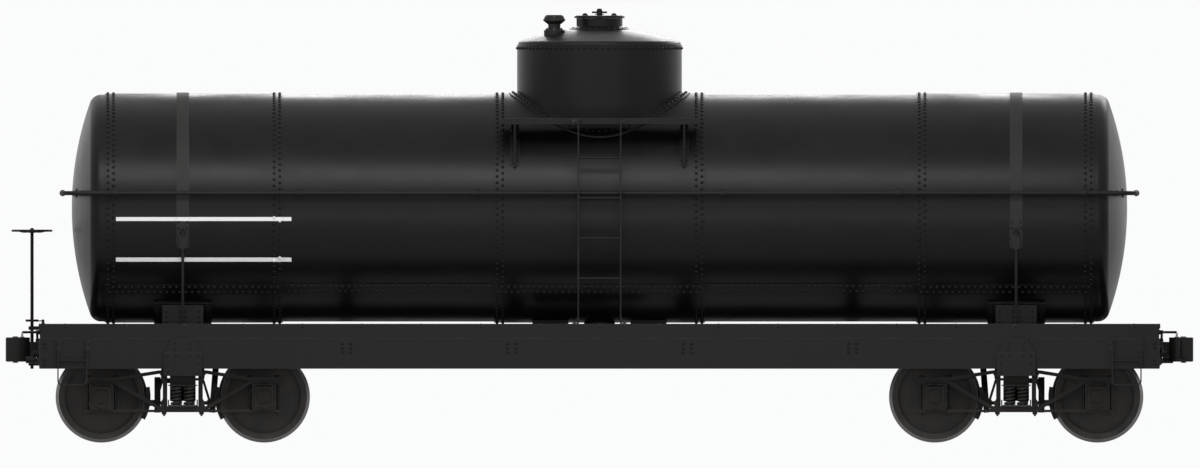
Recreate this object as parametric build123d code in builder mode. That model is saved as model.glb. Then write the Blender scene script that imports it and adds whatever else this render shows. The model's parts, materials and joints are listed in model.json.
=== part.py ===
from build123d import *
from math import acos, asin, cos, radians, sin, sqrt, tan
import os

# Railway tank car, about 1920: a riveted horizontal tank with an expansion dome on a steel
# underframe, carried by two arch-bar trucks of four wheels each.
# Millimetres. X runs along the car, Y across it, Z up. The origin is on the floor under the
# wheel flanges, at the middle of the car. End "a" is at +X, end "b" at -X.

os.makedirs("parts", exist_ok=True)

# Wheels and axles
flange_height = 25.0
wheel_radius = 419.0
wheel_back_to_back = 1353.0
wheel_width = 140.0
flange_thickness = 30.0
rim_depth = 62.0
axle_radius = 70.0
hub_radius = 118.0
hub_reach = 24.0
hub_recess = 34.0
rim_recess = 48.0
tread_taper = 5.0
flange_draft = 6.0
journal_radius = 63.5
journal_spread = 1930.0
axle_length = 2115.0
axle_z = flange_height + wheel_radius

# Gaps: faces that rest on each other, pins in their holes, and pieces that pass each other
seat_gap = 0.3
pin_gap = 0.5
pass_gap = 6.0

# Trucks
wheel_base = 1575.0
axle_x = wheel_base / 2
journal_y = journal_spread / 2
box_width = 236.0
box_length = 262.0
box_above = 120.0
box_below = 125.0
lid_size = 168.0
bar_width = 114.0
bar_thickness = 35.0
tie_thickness = 25.0
arch_rise = 66.0
column_inner = 150.0
column_width = 62.0
box_top = axle_z + box_above
box_bottom = axle_z - box_below
tie_z = box_bottom - tie_thickness
arch_low_z = box_top + bar_thickness
arch_top_z = arch_low_z + arch_rise
spring_seat_z = box_bottom + bar_thickness
bolster_half = 125.0
bolster_end_depth = 92.0
bolster_centre_depth = 242.0
bolster_end_top = arch_top_z - 12.0
bearing_y = 635.0
bearing_height = 37.0
centre_plate_radius = 158.0
centre_bowl_wall = 24.0
centre_bowl_height = 20.0
spring_radius = 58.0
spring_pitch = 124.0
plank_thickness = 12.0
brake_x = 265.0
brake_z = axle_z - 60.0
shoe_gap = 12.0
shoe_thickness = 45.0
shoe_width = 85.0
shoe_angle = 20.0
lever_y = 60.0

# Underframe
body_plate_height = 38.0
bolster_plate = 12.0
sill_bottom = arch_top_z + body_plate_height + bolster_plate
sill_depth = 294.0
sill_top = sill_bottom + sill_depth
tank_length = 10220.0
end_room = 310.0
truck_overhang = 1385.0
frame_length = tank_length + 2 * end_room
frame_width = 2800.0
sill_web = 10.0
sill_flange = 75.0
flange_plate = 14.0
centre_sill_inside = 327.0
end_flange = 85.0
half_length = frame_length / 2
half_width = frame_width / 2
truck_x = half_length - truck_overhang
centre_web_y = centre_sill_inside / 2
centre_flange_y = centre_web_y + 81.5
side_flange_y = half_width - sill_flange
cover_plate_half = truck_x - 255.0
bearer_positions = (-2450.0, -850.0, 850.0, 2450.0)

# Deck
deck_height = 142.0
plank_depth = 45.0
edge_plate = 10.0
walk_width = 327.0
end_deck_width = 459.0
plank_gap = 8.0
deck_top = sill_top + deck_height
board_bottom = deck_top - plank_depth
board_outer_y = half_width - edge_plate - 1.0
board_outer_x = half_length - edge_plate - 1.0
board_inner_y = board_outer_y - walk_width
end_deck_x = board_outer_x - end_deck_width

# Tank
tank_radius = 1110.0
tank_lap = 11.0
tank_clearance = 10.0
head_dish = 3048.0
head_knuckle = 115.0
tank_z = deck_top + tank_clearance + tank_radius
tank_end = tank_length / 2
dome_course_half = 1022.0
end_course_start = tank_end - 2044.0
end_course_end = tank_end - 320.0

# Dome
dome_radius = 798.0
dome_plate = 10.0
dome_rise = 473.0
dome_dish = 2300.0
dome_knuckle = 30.0
dome_flange = 80.0
crown_rise = 166.0
manway_radius = 205.0
manway_wall = 18.0
manway_height = 90.0
cover_radius = 243.5
cover_thickness = 20.0
hinge_y = 285.0
valve_x = -438.0
valve_y = 250.0
shell_top = tank_z + tank_radius + dome_rise
crown_top = shell_top + crown_rise
crown_centre = crown_top - dome_dish
manway_top = crown_top + manway_height

# Fittings of the body
coupler_z = sill_top - 108.0
coupler_reach = 330.0
coupler_face = half_length + coupler_reach
draft_start = half_length - 1120.0
draft_end = half_length - 430.0
handrail_radius = 21.0
handrail_z = tank_z + 145.0
handrail_y = tank_radius + 75.0
handrail_x = tank_end + 88.0
handrail_bend = 150.0
ladder_half = 205.0
ladder_depth = 60.0
platform_half = 960.0
platform_top = tank_z + 870.0
platform_outer_y = tank_radius + 95.0
platform_inner_y = dome_radius + 17.0
band_width = 120.0
band_thickness = 10.0
band_wrap = 20.0
saddle_length = 557.0
saddle_wrap = 35.5
saddle_plate = 25.0
step_x = half_length - 315.0
step_width = 290.0
step_bottom = sill_bottom - 162.0
jack_pad_bottom = sill_bottom - 69.0
train_pipe_y = 300.0
train_pipe_z = sill_bottom + 85.0
train_pipe_radius = 21.0
rigging_z = sill_bottom + 165.0
hand_rod_z = rigging_z + 25.0
cylinder_y = 620.0
tie_rod_y = 400.0
hand_rod_y = 480.0
rod_radius = 13.0
staff_x = half_length + 75.0
staff_top = deck_top + 930.0
brake_wheel_radius = 200.0

SIDES = (-1, 1)
ENDS = (("a", 1, 0.0), ("b", -1, 180.0))
UP = (Align.CENTER, Align.CENTER, Align.MIN)


def along(y):
    """A drawing plane at y: the sketch's first axis runs along the car and its second up."""
    return Plane.XZ.offset(-y)


def across(x):
    """A drawing plane at x: the sketch's first axis runs across the car and its second up."""
    return Plane.YZ.offset(x)


def level(z):
    """A level drawing plane at z."""
    return Plane.XY.offset(z)


def slab(plane, points, thickness, mode=Mode.ADD):
    """A plate with its outline through the points, half its thickness to each side. A pair of
    points in the outline is an arc, which goes by way of the first to the second."""
    with BuildSketch(plane) as face:
        with BuildLine():
            here = points[0]
            for step in [*points[1:], points[0]]:
                if isinstance(step[0], tuple):
                    ThreePointArc(here, *step)
                    here = step[1]
                else:
                    Line(here, step)
                    here = step
        make_face()
    extrude(face.sketch, amount=thickness / 2, both=True, mode=mode)


def ribbon(points, thickness, bend=0.0):
    """The outline of a bar of one thickness along a centre line, its corners bent round."""
    path = [Vector(*point) for point in points]
    runs = [(stop - start).normalized() for start, stop in zip(path, path[1:])]
    sides = [Vector(-run.Y, run.X) * (thickness / 2) for run in runs]
    left, right = [path[0] + sides[0]], [path[0] - sides[0]]
    for i in range(1, len(path) - 1):
        corner, before, after = path[i], runs[i - 1], runs[i]
        inward = (after - before).normalized()
        half_turn = acos(before.dot(after)) / 2
        hand = 1 if before.X * after.Y > before.Y * after.X else -1
        centre = corner + inward * (bend / cos(half_turn))
        start = corner - before * (bend * tan(half_turn))
        stop = corner + after * (bend * tan(half_turn))
        left_middle = centre - inward * (bend - hand * thickness / 2)
        right_middle = centre - inward * (bend + hand * thickness / 2)
        left += [start + sides[i - 1], (left_middle, stop + sides[i])]
        right += [(right_middle, start - sides[i - 1]), stop - sides[i]]
    left.append(path[-1] + sides[-1])
    right.append(path[-1] - sides[-1])
    return [flat(step) for step in left + right[::-1]]


def flat(step):
    """A point of an outline as two numbers, or the two points of an arc as two such pairs."""
    if isinstance(step, tuple):
        return (flat(step[0]), flat(step[1]))
    return (step.X, step.Y)


def mirrored(points):
    """The points of a right half and their mirror images, as one outline."""
    return list(points) + [(-x, z) for x, z in reversed(points)]


def on_side(side, points):
    """An outline of points across the car, turned to one side of it."""
    turned = []
    for step in points:
        if isinstance(step[0], tuple):
            turned.append(tuple((side * y, z) for y, z in step))
        else:
            turned.append((side * step[0], step[1]))
    return turned


def rod(start, end, radius, mode=Mode.ADD):
    """A round bar from one point to another."""
    run = Vector(*end) - Vector(*start)
    with Locations(Plane(origin=start, z_dir=run)):
        Cylinder(radius, run.length, align=UP, mode=mode)


def block(x, y, z, mode=Mode.ADD):
    """A box between the pairs of coordinates."""
    middle = [(low + high) / 2 for low, high in (x, y, z)]
    with Locations(tuple(middle)):
        Box(abs(x[1] - x[0]), abs(y[1] - y[0]), abs(z[1] - z[0]), mode=mode)


def dished(radius, dish, knuckle, crown):
    """A dished head's outline: named points (distance along the axis, radius)."""
    swing = asin((radius - knuckle) / (dish - knuckle))
    centre = crown - dish
    corner = centre + (dish - knuckle) * cos(swing)
    ease = (swing + radians(90)) / 2
    return {
        "crown": (crown, 0.0),
        "crown_mid": (centre + dish * cos(swing / 2), dish * sin(swing / 2)),
        "tangent": (centre + dish * cos(swing), dish * sin(swing)),
        "knuckle_mid": (corner + knuckle * cos(ease), radius - knuckle + knuckle * sin(ease)),
        "rim": (corner, radius),
    }


def save(part, label, x=0.0, turn=0.0):
    """Sets the part down at x, turned about the vertical, and writes it under its name."""
    with BuildPart() as placed:
        with Locations(Location((x, 0, 0), (0, 0, turn))):
            add(part)
    placed.part.label = label
    export_step(placed.part, f"parts/{label}.step")


def both_ends(part):
    """The part at end a, and its copy turned half round for end b."""
    with BuildPart() as pair:
        for _, _, turn in ENDS:
            with Locations(Location((0, 0, 0), (0, 0, turn))):
                add(part)
    return pair.part


# Wheelset: two cast wheels pressed on one axle, turned about the axle's own line
wheel_inner_y = wheel_back_to_back / 2
wheel_outer_y = wheel_inner_y + wheel_width
flange_radius = wheel_radius + flange_height
wheel_profile = [
    (0, axle_length / 2),
    (journal_radius, axle_length / 2),
    (journal_radius, wheel_outer_y + hub_reach),
    (hub_radius, wheel_outer_y + hub_reach),
    (hub_radius, wheel_outer_y - hub_recess),
    (wheel_radius - rim_depth, wheel_outer_y - rim_recess),
    (wheel_radius - rim_depth, wheel_outer_y),
    (wheel_radius - tread_taper / 2, wheel_outer_y),
    (wheel_radius + tread_taper / 2, wheel_inner_y + flange_thickness),
    (flange_radius, wheel_inner_y + flange_thickness / 2),
    (flange_radius - flange_draft, wheel_inner_y),
    (axle_radius, wheel_inner_y),
    (axle_radius, 0),
    (0, 0),
]
with BuildPart() as wheelset:
    with BuildSketch(level(axle_z)):
        with BuildLine():
            Polyline(*wheel_profile, close=True)
        make_face()
    revolve(axis=Axis((0, 0, axle_z), (0, 1, 0)))
    mirror(about=Plane.XZ)

# Truck side frames: arch bars, tie bar and columns of each side, joined as one frame
bar_overhang = 39.0
bar_bend = 60.0
seat_margin = 20.0
bar_end = axle_x + box_width / 2 + bar_overhang
bend_low = axle_x - box_width / 2 - seat_margin
bend_high = column_inner + column_width + seat_margin
arched_bars = (
    # height at the boxes, height in the middle
    (arch_low_z, arch_top_z),
    (box_top, box_bottom),
)
column_outer = column_inner + column_width
column_waist = 18.0
column_foot = 40.0
column_flare = 30.0
column = [
    (column_inner, spring_seat_z),
    (column_outer, spring_seat_z),
    (column_outer, spring_seat_z + column_foot),
    (column_outer - column_waist, spring_seat_z + column_foot + column_flare),
    (column_outer - column_waist, arch_top_z - column_foot - column_flare),
    (column_outer, arch_top_z - column_foot),
    (column_outer, arch_top_z),
    (column_inner, arch_top_z),
]
with BuildPart() as side_frames:
    for side in SIDES:
        for at_box, in_middle in arched_bars:
            half = bar_thickness / 2
            bar = [(bar_end, at_box + half), (bend_low, at_box + half), (bend_high, in_middle + half)]
            outline = ribbon(mirrored(bar), bar_thickness, bar_bend)
            slab(along(side * journal_y), outline, bar_width)
        block(
            (-bar_end, bar_end),
            (side * (journal_y - bar_width / 2), side * (journal_y + bar_width / 2)),
            (tie_z, tie_z + tie_thickness),
        )
        for end in SIDES:
            slab(along(side * journal_y), on_side(end, column), bar_width)

# Journal boxes: cast boxes with a sloping lid, bored for the journal from the wheel's side
box_shift = 12.0
front_wall = 46.0
lid_thickness = 18.0
box_round = 28.0
box_inner_y = journal_y - box_length / 2 + box_shift
box_outer_y = box_inner_y + box_length
box_profile = [
    (box_inner_y, box_bottom),
    (box_outer_y - front_wall, box_bottom),
    (box_outer_y - lid_thickness, box_top - 34),
    (box_outer_y - lid_thickness, box_top),
    (box_inner_y, box_top),
]
lid_profile = [
    (box_outer_y - 60, axle_z - 92),
    ((box_outer_y - 42, axle_z - 100), (box_outer_y - 30, axle_z - 92)),
    (box_outer_y, box_top - 40),
    ((box_outer_y - 2, box_top - 16), (box_outer_y - 24, box_top - 10)),
]
journal_bore = box_length - front_wall
with BuildPart() as journal_boxes:
    for side in SIDES:
        for end in SIDES:
            x = end * axle_x
            slab(across(x), on_side(side, box_profile), box_width)
            slab(across(x), on_side(side, lid_profile), lid_size)
            rod(
                (x, side * (box_inner_y - 1), axle_z),
                (x, side * (box_inner_y + journal_bore), axle_z),
                journal_radius + pin_gap,
                mode=Mode.SUBTRACT,
            )
    lower_edges = journal_boxes.edges().filter_by(Axis.Y).group_by(Axis.Z)[0]
    fillet(lower_edges, radius=box_round)

# Truck bolster: a fish-bellied beam through the columns, with the centre bowl and side bearings
tip_overhang = 18.0
bolster_tip_y = journal_y + bar_width / 2 + tip_overhang
bolster_end_bottom = bolster_end_top - bolster_end_depth
bowl_floor = arch_top_z - centre_bowl_height
belly_z = bowl_floor - bolster_centre_depth
belly_y = 260.0
belly_end_y = journal_y - 190.0
pocket_depth = 55.0
pocket_edge = 45.0
pocket_y = (60.0, 500.0)
bearing_length = 110.0
bearing_width = 150.0
bowl_clearance = 3.0
beam = mirrored(
    [
        (belly_y + 40, bowl_floor),
        (bolster_tip_y, bolster_end_top),
        (bolster_tip_y, bolster_end_bottom),
        (belly_end_y, bolster_end_bottom),
        (belly_y, belly_z),
    ]
)
with BuildPart() as truck_bolster:
    slab(across(0), beam, bolster_half * 2)
    for side in SIDES:
        pocket = [
            (side * pocket_y[0], bowl_floor - pocket_edge),
            (side * pocket_y[1], bowl_floor - pocket_edge),
            (side * pocket_y[1], bowl_floor - 2 * pocket_edge - 10),
            (side * belly_y, belly_z + pocket_edge),
            (side * pocket_y[0], belly_z + pocket_edge),
        ]
        for face in SIDES:
            slab(across(face * bolster_half), pocket, pocket_depth * 2, mode=Mode.SUBTRACT)
        block(
            (-bearing_width / 2, bearing_width / 2),
            (side * (bearing_y - bearing_length / 2), side * (bearing_y + bearing_length / 2)),
            (bolster_end_top - bearing_height, bolster_end_top + bearing_height),
        )
    with BuildSketch(level(bowl_floor)):
        Circle(centre_plate_radius + bowl_clearance + centre_bowl_wall)
        Circle(centre_plate_radius + bowl_clearance, mode=Mode.SUBTRACT)
    extrude(amount=centre_bowl_height)

# Springs: four coils stand on the spring plank under each end of the bolster
plank_half = column_inner - 4.0
spring_top = bolster_end_bottom - seat_gap
cap_half = spring_pitch / 2 + spring_radius + 1.0
plank_end_y = journal_y + cap_half
plank_rib_y = journal_y - bar_width / 2 - plank_thickness
plank_rib_top = spring_seat_z + 62.0
with BuildPart() as spring_group:
    block(
        (-plank_half, plank_half),
        (-plank_end_y, plank_end_y),
        (spring_seat_z + seat_gap, spring_seat_z + plank_thickness),
    )
    for face in SIDES:
        block(
            (face * plank_half, face * (plank_half - plank_thickness)),
            (-plank_rib_y, plank_rib_y),
            (spring_seat_z + plank_thickness, plank_rib_top),
        )
    for side in SIDES:
        with Locations((0, side * journal_y, spring_seat_z + plank_thickness)):
            with GridLocations(spring_pitch, spring_pitch, 2, 2):
                Cylinder(
                    spring_radius, spring_top - spring_seat_z - 2 * plank_thickness, align=UP
                )
        block(
            (-plank_half + 4, plank_half - 4),
            (side * (journal_y - cap_half), side * (journal_y + cap_half)),
            (spring_top - plank_thickness, spring_top),
        )

# Brake beams: a trussed beam inside each axle with its heads and shoes, hung from the bolster,
# with the truck's levers and their bottom rod
shoe_inner = wheel_radius + shoe_gap
head_x = axle_x - shoe_inner - shoe_thickness
shoe_y = wheel_inner_y + flange_thickness + 10.0 + shoe_width / 2
hanger_y = shoe_y - shoe_width / 2 + 14.0
live_top = rigging_z - 12.0
dead_top = bowl_floor - 10.0
rod_z = tie_z + 20.0
shoe_lean = 8.0
head_half = 30.0
beam_half = (22.0, 26.0)
hanger_bar = 24.0
hanger_reach = 70.0
truss_depth = 80.0
truck_lever = (60.0, 20.0)
with BuildPart() as brake_beams:
    for end in SIDES:
        axle = (end * axle_x, axle_z)
        reach = shoe_inner + 2 * shoe_thickness
        fan = [axle]
        for swing in (-shoe_angle, 0, shoe_angle):
            turn = radians(swing - shoe_lean)
            fan.append((axle[0] - end * reach * cos(turn), axle_z + reach * sin(turn)))
        for side in SIDES:
            # the shoe is a piece of a ring about the axle
            with BuildSketch(along(side * shoe_y)):
                with Locations(axle):
                    Circle(shoe_inner + shoe_thickness)
                    Circle(shoe_inner, mode=Mode.SUBTRACT)
                with BuildLine():
                    Polyline(*fan, close=True)
                make_face(mode=Mode.INTERSECT)
            extrude(amount=shoe_width / 2, both=True)
            # the head joins the shoe to the beam, and a hanger carries it from the bolster
            block(
                (end * (brake_x - head_half), end * (head_x + 14)),
                (side * (shoe_y - head_half), side * (shoe_y + head_half)),
                (brake_z - head_half, brake_z + head_half),
            )
            hanger = [
                (end * bolster_half, bolster_end_top - 40),
                (end * (bolster_half + hanger_reach), bolster_end_top - 40),
                (end * brake_x, brake_z),
            ]
            slab(along(side * hanger_y), ribbon(hanger, hanger_bar, hanger_bar), hanger_bar)
        block(
            (end * (brake_x - beam_half[0]), end * (brake_x + beam_half[0])),
            (-shoe_y - head_half, shoe_y + head_half),
            (brake_z - beam_half[1], brake_z + beam_half[1]),
        )
        truss = [
            (end * (brake_x - 10), -shoe_y + 60),
            (end * (brake_x - 10 - truss_depth), -lever_y - 10),
            (end * (brake_x - 10 - truss_depth), lever_y + 10),
            (end * (brake_x - 10), shoe_y - 60),
        ]
        slab(level(brake_z), ribbon(truss, hanger_bar, 4 * hanger_bar), hanger_bar)
        strut_x = (end * (brake_x + 15), end * (brake_x - 15 - truss_depth))
        block(strut_x, (lever_y - hanger_bar, lever_y + hanger_bar), (brake_z - 18, brake_z + 18))
    live_lever = [(-brake_x - 20, rod_z - 24), (-brake_x - 65, live_top)]
    dead_lever = [(brake_x - 20, rod_z - 24), (brake_x - 20, dead_top)]
    for line in (live_lever, dead_lever):
        slab(along(lever_y), ribbon(line, truck_lever[0]), truck_lever[1])
    rod((-brake_x, lever_y, rod_z), (brake_x, lever_y, rod_z), rod_radius)
    block((bolster_half, brake_x), (lever_y - 20, lever_y - 9), (dead_top - 60, dead_top - 15))

for end, sign, turn in ENDS:
    save(side_frames.part, f"truck_{end}_side_frames", sign * truck_x, turn)
    save(journal_boxes.part, f"truck_{end}_journal_boxes", sign * truck_x, turn)
    save(truck_bolster.part, f"truck_{end}_bolster", sign * truck_x, turn)
    save(spring_group.part, f"truck_{end}_springs", sign * truck_x, turn)
    save(brake_beams.part, f"truck_{end}_brake_beams", sign * truck_x, turn)
    save(wheelset.part, f"wheelset_{end}1", sign * (truck_x + axle_x), turn)
    save(wheelset.part, f"wheelset_{end}2", sign * (truck_x - axle_x), turn)

# Centre sill: two channels back to back under one cover plate
channel = [
    (centre_web_y, sill_bottom),
    (centre_flange_y, sill_bottom),
    (centre_flange_y, sill_bottom + flange_plate),
    (centre_web_y + sill_web, sill_bottom + flange_plate),
    (centre_web_y + sill_web, sill_top - flange_plate),
    (centre_flange_y, sill_top - flange_plate),
    (centre_flange_y, sill_top),
    (centre_web_y, sill_top),
]
sill_end = half_length - end_flange
body_lever_x = 760.0
pipe_hole = train_pipe_radius + pass_gap
rod_hole = rod_radius + pass_gap
pipe_cross_x = 300.0
outlet_hole = 110.0
lever_slot = (130.0, 36.0)
with BuildPart() as centre_sill:
    for side in SIDES:
        slab(across(0), on_side(side, channel), sill_end * 2)
    block(
        (-cover_plate_half, cover_plate_half),
        (-centre_flange_y + 15, centre_flange_y - 15),
        (sill_top, sill_top + edge_plate),
    )
    with Locations((0, 0, sill_top)):
        Cylinder(outlet_hole, 4 * edge_plate, mode=Mode.SUBTRACT)
    # the train pipe crosses over, and the brake levers swing in slots of the webs
    rod(
        (pipe_cross_x, -centre_flange_y, train_pipe_z),
        (pipe_cross_x, centre_flange_y, train_pipe_z),
        pipe_hole,
        mode=Mode.SUBTRACT,
    )
    for x, slot_y in (
        (body_lever_x, (-centre_web_y - 20, -centre_web_y + 20)),
        (-body_lever_x, (-centre_web_y - 20, centre_web_y + 20)),
    ):
        block(
            (x - lever_slot[0] / 2, x + lever_slot[0] / 2),
            slot_y,
            (rigging_z - lever_slot[1] / 2, rigging_z + lever_slot[1] / 2),
            mode=Mode.SUBTRACT,
        )
save(centre_sill.part, "centre_sill")

# Side sills: channels with their backs outwards
side_channel = [
    (half_width, sill_bottom),
    (side_flange_y, sill_bottom),
    (side_flange_y, sill_bottom + flange_plate),
    (half_width - sill_web, sill_bottom + flange_plate),
    (half_width - sill_web, sill_top - flange_plate),
    (side_flange_y, sill_top - flange_plate),
    (side_flange_y, sill_top),
    (half_width, sill_top),
]
with BuildPart() as side_sills:
    for side in SIDES:
        slab(across(0), on_side(side, side_channel), frame_length)
save(side_sills.part, "side_sills")

# End sills: channels between the side sills, open for the coupler, with the striking casting
inner_side_y = side_flange_y - seat_gap
throat_y = 100.0
throat_z = (coupler_z - 86.0, coupler_z + 86.0)
collar_rim = 70.0
collar_reach = 30.0
end_channel = [
    (half_length, sill_bottom),
    (sill_end + seat_gap, sill_bottom),
    (sill_end + seat_gap, sill_bottom + flange_plate),
    (half_length - sill_web, sill_bottom + flange_plate),
    (half_length - sill_web, sill_top - flange_plate),
    (sill_end + seat_gap, sill_top - flange_plate),
    (sill_end + seat_gap, sill_top),
    (half_length, sill_top),
]
with BuildPart() as end_sill:
    slab(along(0), end_channel, inner_side_y * 2)
    block(
        (half_length - 1, half_length + collar_reach),
        (-throat_y - collar_rim, throat_y + collar_rim),
        (throat_z[0] - 55, sill_top),
    )
    block(
        (half_length - sill_web - 1, half_length + collar_reach + 1),
        (-throat_y, throat_y),
        throat_z,
        mode=Mode.SUBTRACT,
    )
    for y, z, radius in (
        (train_pipe_y, train_pipe_z, pipe_hole),
        (-hand_rod_y, hand_rod_z, rod_hole),
    ):
        rod((sill_end, y, z), (half_length + 1, y, z), radius, mode=Mode.SUBTRACT)
save(both_ends(end_sill.part), "end_sills")

# Body bolsters: cross beams over the trucks, their lower plate drawn up towards the sides
web_x = 120.0
bolster_reach = 200.0
bolster_rise = 60.0
lower_bend_y = 500.0
body_plate_z = sill_bottom - bolster_plate
lower_plate = [
    (lower_bend_y, sill_bottom - bolster_plate / 2),
    (inner_side_y, sill_bottom - bolster_plate / 2 + bolster_rise),
]
lower_line = mirrored(lower_plate[::-1])
web_outline = [
    (centre_flange_y + seat_gap, sill_bottom - bolster_plate / 2),
    (lower_bend_y, sill_bottom - bolster_plate / 2),
    (inner_side_y, sill_bottom - bolster_plate / 2 + bolster_rise),
    (inner_side_y, sill_top + bolster_plate / 2),
    (centre_flange_y + seat_gap, sill_top + bolster_plate / 2),
]
bearing_pad_z = bolster_end_top + bearing_height + pass_gap
with BuildPart() as body_bolster:
    block(
        (-bolster_reach, bolster_reach),
        (-inner_side_y, inner_side_y),
        (sill_top + seat_gap, sill_top + bolster_plate),
    )
    outline = ribbon(lower_line, bolster_plate - seat_gap, 4 * bolster_plate)
    slab(across(0), outline, 2 * bolster_reach)
    for side in SIDES:
        for x in (-web_x, web_x):
            slab(across(x), on_side(side, web_outline), bolster_plate)
        block(
            (-bearing_width / 2 - 5, bearing_width / 2 + 5),
            (
                side * (bearing_y - bearing_length / 2 - 5),
                side * (bearing_y + bearing_length / 2 + 5),
            ),
            (bearing_pad_z, sill_bottom + bolster_plate / 2),
        )
    # the train pipe passes one side of both bolsters, and the hand brake rod the other at end b
    for x in (-web_x, web_x):
        for y, z, radius in (
            (train_pipe_y, train_pipe_z, pipe_hole),
            (-hand_rod_y, hand_rod_z, rod_hole),
        ):
            web = (x - bolster_plate, x + bolster_plate)
            rod((web[0], y, z), (web[1], y, z), radius, mode=Mode.SUBTRACT)
    # the casting between the centre sills, and the centre plate under it
    block(
        (-web_x - 30, web_x + 30),
        (-centre_web_y + seat_gap, centre_web_y - seat_gap),
        (sill_bottom - 1, sill_top + 1),
    )
    with Locations((0, 0, bowl_floor + seat_gap)):
        Cylinder(centre_plate_radius, body_plate_z - bowl_floor + 3, align=UP)
with BuildPart() as body_bolsters:
    for _, sign, turn in ENDS:
        with Locations(Location((sign * truck_x, 0, 0), (0, 0, turn))):
            add(body_bolster.part)
save(body_bolsters.part, "body_bolsters")

# Castings on the side sills at the body bolsters, with a foot for a jack under the sill
jack_half = 185.0
jack_top_half = 100.0
jack_shoulder_z = sill_top - 141.0
jack_reach = 40.0
jack_thickness = 32.0
jack_face = mirrored(
    [
        (jack_half, jack_pad_bottom),
        (jack_half, jack_shoulder_z),
        (jack_top_half, sill_top),
    ]
)
with BuildPart() as jacking_pads:
    for _, sign, _ in ENDS:
        for side in SIDES:
            slab(
                along(side * (half_width + jack_thickness / 2)),
                [(sign * truck_x + x, z) for x, z in jack_face],
                jack_thickness,
            )
            # below its shoulder the casting stands further out, and under the sill it turns in
            for y, top in (
                ((half_width, half_width + jack_reach), jack_shoulder_z),
                ((side_flange_y, half_width + jack_reach / 2), sill_bottom),
            ):
                block(
                    (sign * truck_x - jack_half, sign * truck_x + jack_half),
                    (side * y[0], side * y[1]),
                    (jack_pad_bottom, top),
                )
save(jacking_pads.part, "jacking_pads")

# Cross-bearers: pressed beams from the centre sill to the side sills, tapered underneath
bearer_rise = 120.0
bearer_flange = 140.0
bearer_root_y = centre_flange_y + seat_gap
with BuildPart() as cross_bearers:
    for x in bearer_positions:
        for side in SIDES:
            inner, outer = side * bearer_root_y, side * inner_side_y
            beam_web = [
                (inner, sill_bottom),
                (outer, sill_bottom + bearer_rise),
                (outer, sill_top),
                (inner, sill_top),
            ]
            lower = [
                (inner + side * 2, sill_bottom + flange_plate / 2),
                (outer, sill_bottom + bearer_rise + flange_plate / 2),
            ]
            upper = [(inner, sill_top - flange_plate / 2), (outer, sill_top - flange_plate / 2)]
            slab(across(x), beam_web, sill_web)
            slab(across(x), ribbon(lower, flange_plate), bearer_flange)
            slab(across(x), ribbon(upper, flange_plate), bearer_flange)
            passing = [(train_pipe_y, train_pipe_z, pipe_hole)] if side * x > 0 else []
            if side > 0 > x:
                passing.append((hand_rod_y, hand_rod_z, rod_hole))
            for y, z, radius in passing:
                rod((x - 20, side * y, z), (x + 20, side * y, z), radius, mode=Mode.SUBTRACT)
save(cross_bearers.part, "cross_bearers")

# Running boards along the sides, two planks wide, on short bearers
board_bearer = 70.0
walk_plank = (walk_width - plank_gap) / 2
seat_z = sill_top + edge_plate + seat_gap
walk_end = end_deck_x - plank_gap
walk_bearers = [walk_end * step / 5.5 for step in range(-5, 6)]
with BuildPart() as running_boards:
    for side in SIDES:
        for start in (board_inner_y, board_inner_y + walk_plank + plank_gap):
            block(
                (-walk_end, walk_end),
                (side * start, side * (start + walk_plank)),
                (board_bottom, deck_top),
            )
        for x in walk_bearers:
            block(
                (x - board_bearer / 2, x + board_bearer / 2),
                (side * board_inner_y, side * board_outer_y),
                (seat_z, board_bottom),
            )
save(running_boards.part, "running_boards")

# Decks across the ends
end_bearer = 80.0
end_plank = (end_deck_width - 2 * plank_gap) / 3
with BuildPart() as end_platform:
    for i in range(3):
        start = end_deck_x + i * (end_plank + plank_gap)
        block((start, start + end_plank), (-board_outer_y, board_outer_y), (board_bottom, deck_top))
    for share in (-1, -0.5, 0, 0.5, 1):
        y = share * (board_outer_y - end_bearer / 2 - 9)
        bearer_y = (y - end_bearer / 2, y + end_bearer / 2)
        block((end_deck_x, board_outer_x), bearer_y, (seat_z, board_bottom))
save(both_ends(end_platform.part), "end_platforms")

# Deck edge: an angle all round the deck, standing on the sills
with BuildPart() as deck_edge:
    for height, inset in ((deck_height, edge_plate), (edge_plate, sill_flange)):
        with BuildSketch(level(sill_top)):
            Rectangle(frame_length, frame_width)
            Rectangle(frame_length - 2 * inset, frame_width - 2 * inset, mode=Mode.SUBTRACT)
        extrude(amount=height)
save(deck_edge.part, "deck_edge")

# Tank: courses of plate that lap over each other, closed by dished heads
head = dished(tank_radius - tank_lap, head_dish, head_knuckle, tank_end)


def tank_shape(gap):
    """The tank's body, grown by a gap, turned about its own line."""
    lapped = tank_z + tank_radius - tank_lap + gap
    full = tank_z + tank_radius + gap
    arc = {name: (x + gap, tank_z + radius + gap) for name, (x, radius) in head.items()}
    apex = (head["crown"][0] + gap, tank_z)
    with BuildPart() as shape:
        with BuildSketch(along(0)):
            with BuildLine():
                Polyline(
                    apex,
                    (0, tank_z),
                    (0, full),
                    (dome_course_half + gap, full),
                    (dome_course_half + gap, lapped),
                    (end_course_start - gap, lapped),
                    (end_course_start - gap, full),
                    (end_course_end + gap, full),
                    (end_course_end + gap, lapped),
                    arc["rim"],
                )
                ThreePointArc(arc["rim"], arc["knuckle_mid"], arc["tangent"])
                ThreePointArc(arc["tangent"], arc["crown_mid"], apex)
            make_face()
        revolve(axis=Axis((0, 0, tank_z), (1, 0, 0)))
        mirror(about=Plane.YZ)
    return shape.part


tank_seat = tank_shape(seat_gap)
save(tank_shape(0.0), "tank")

# Dome: a short drum flanged onto the tank, with a dished crown that carries the manway
crown = dished(dome_radius - dome_plate, dome_dish, dome_knuckle, crown_top)
skirt_z = shell_top - 60.0


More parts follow.
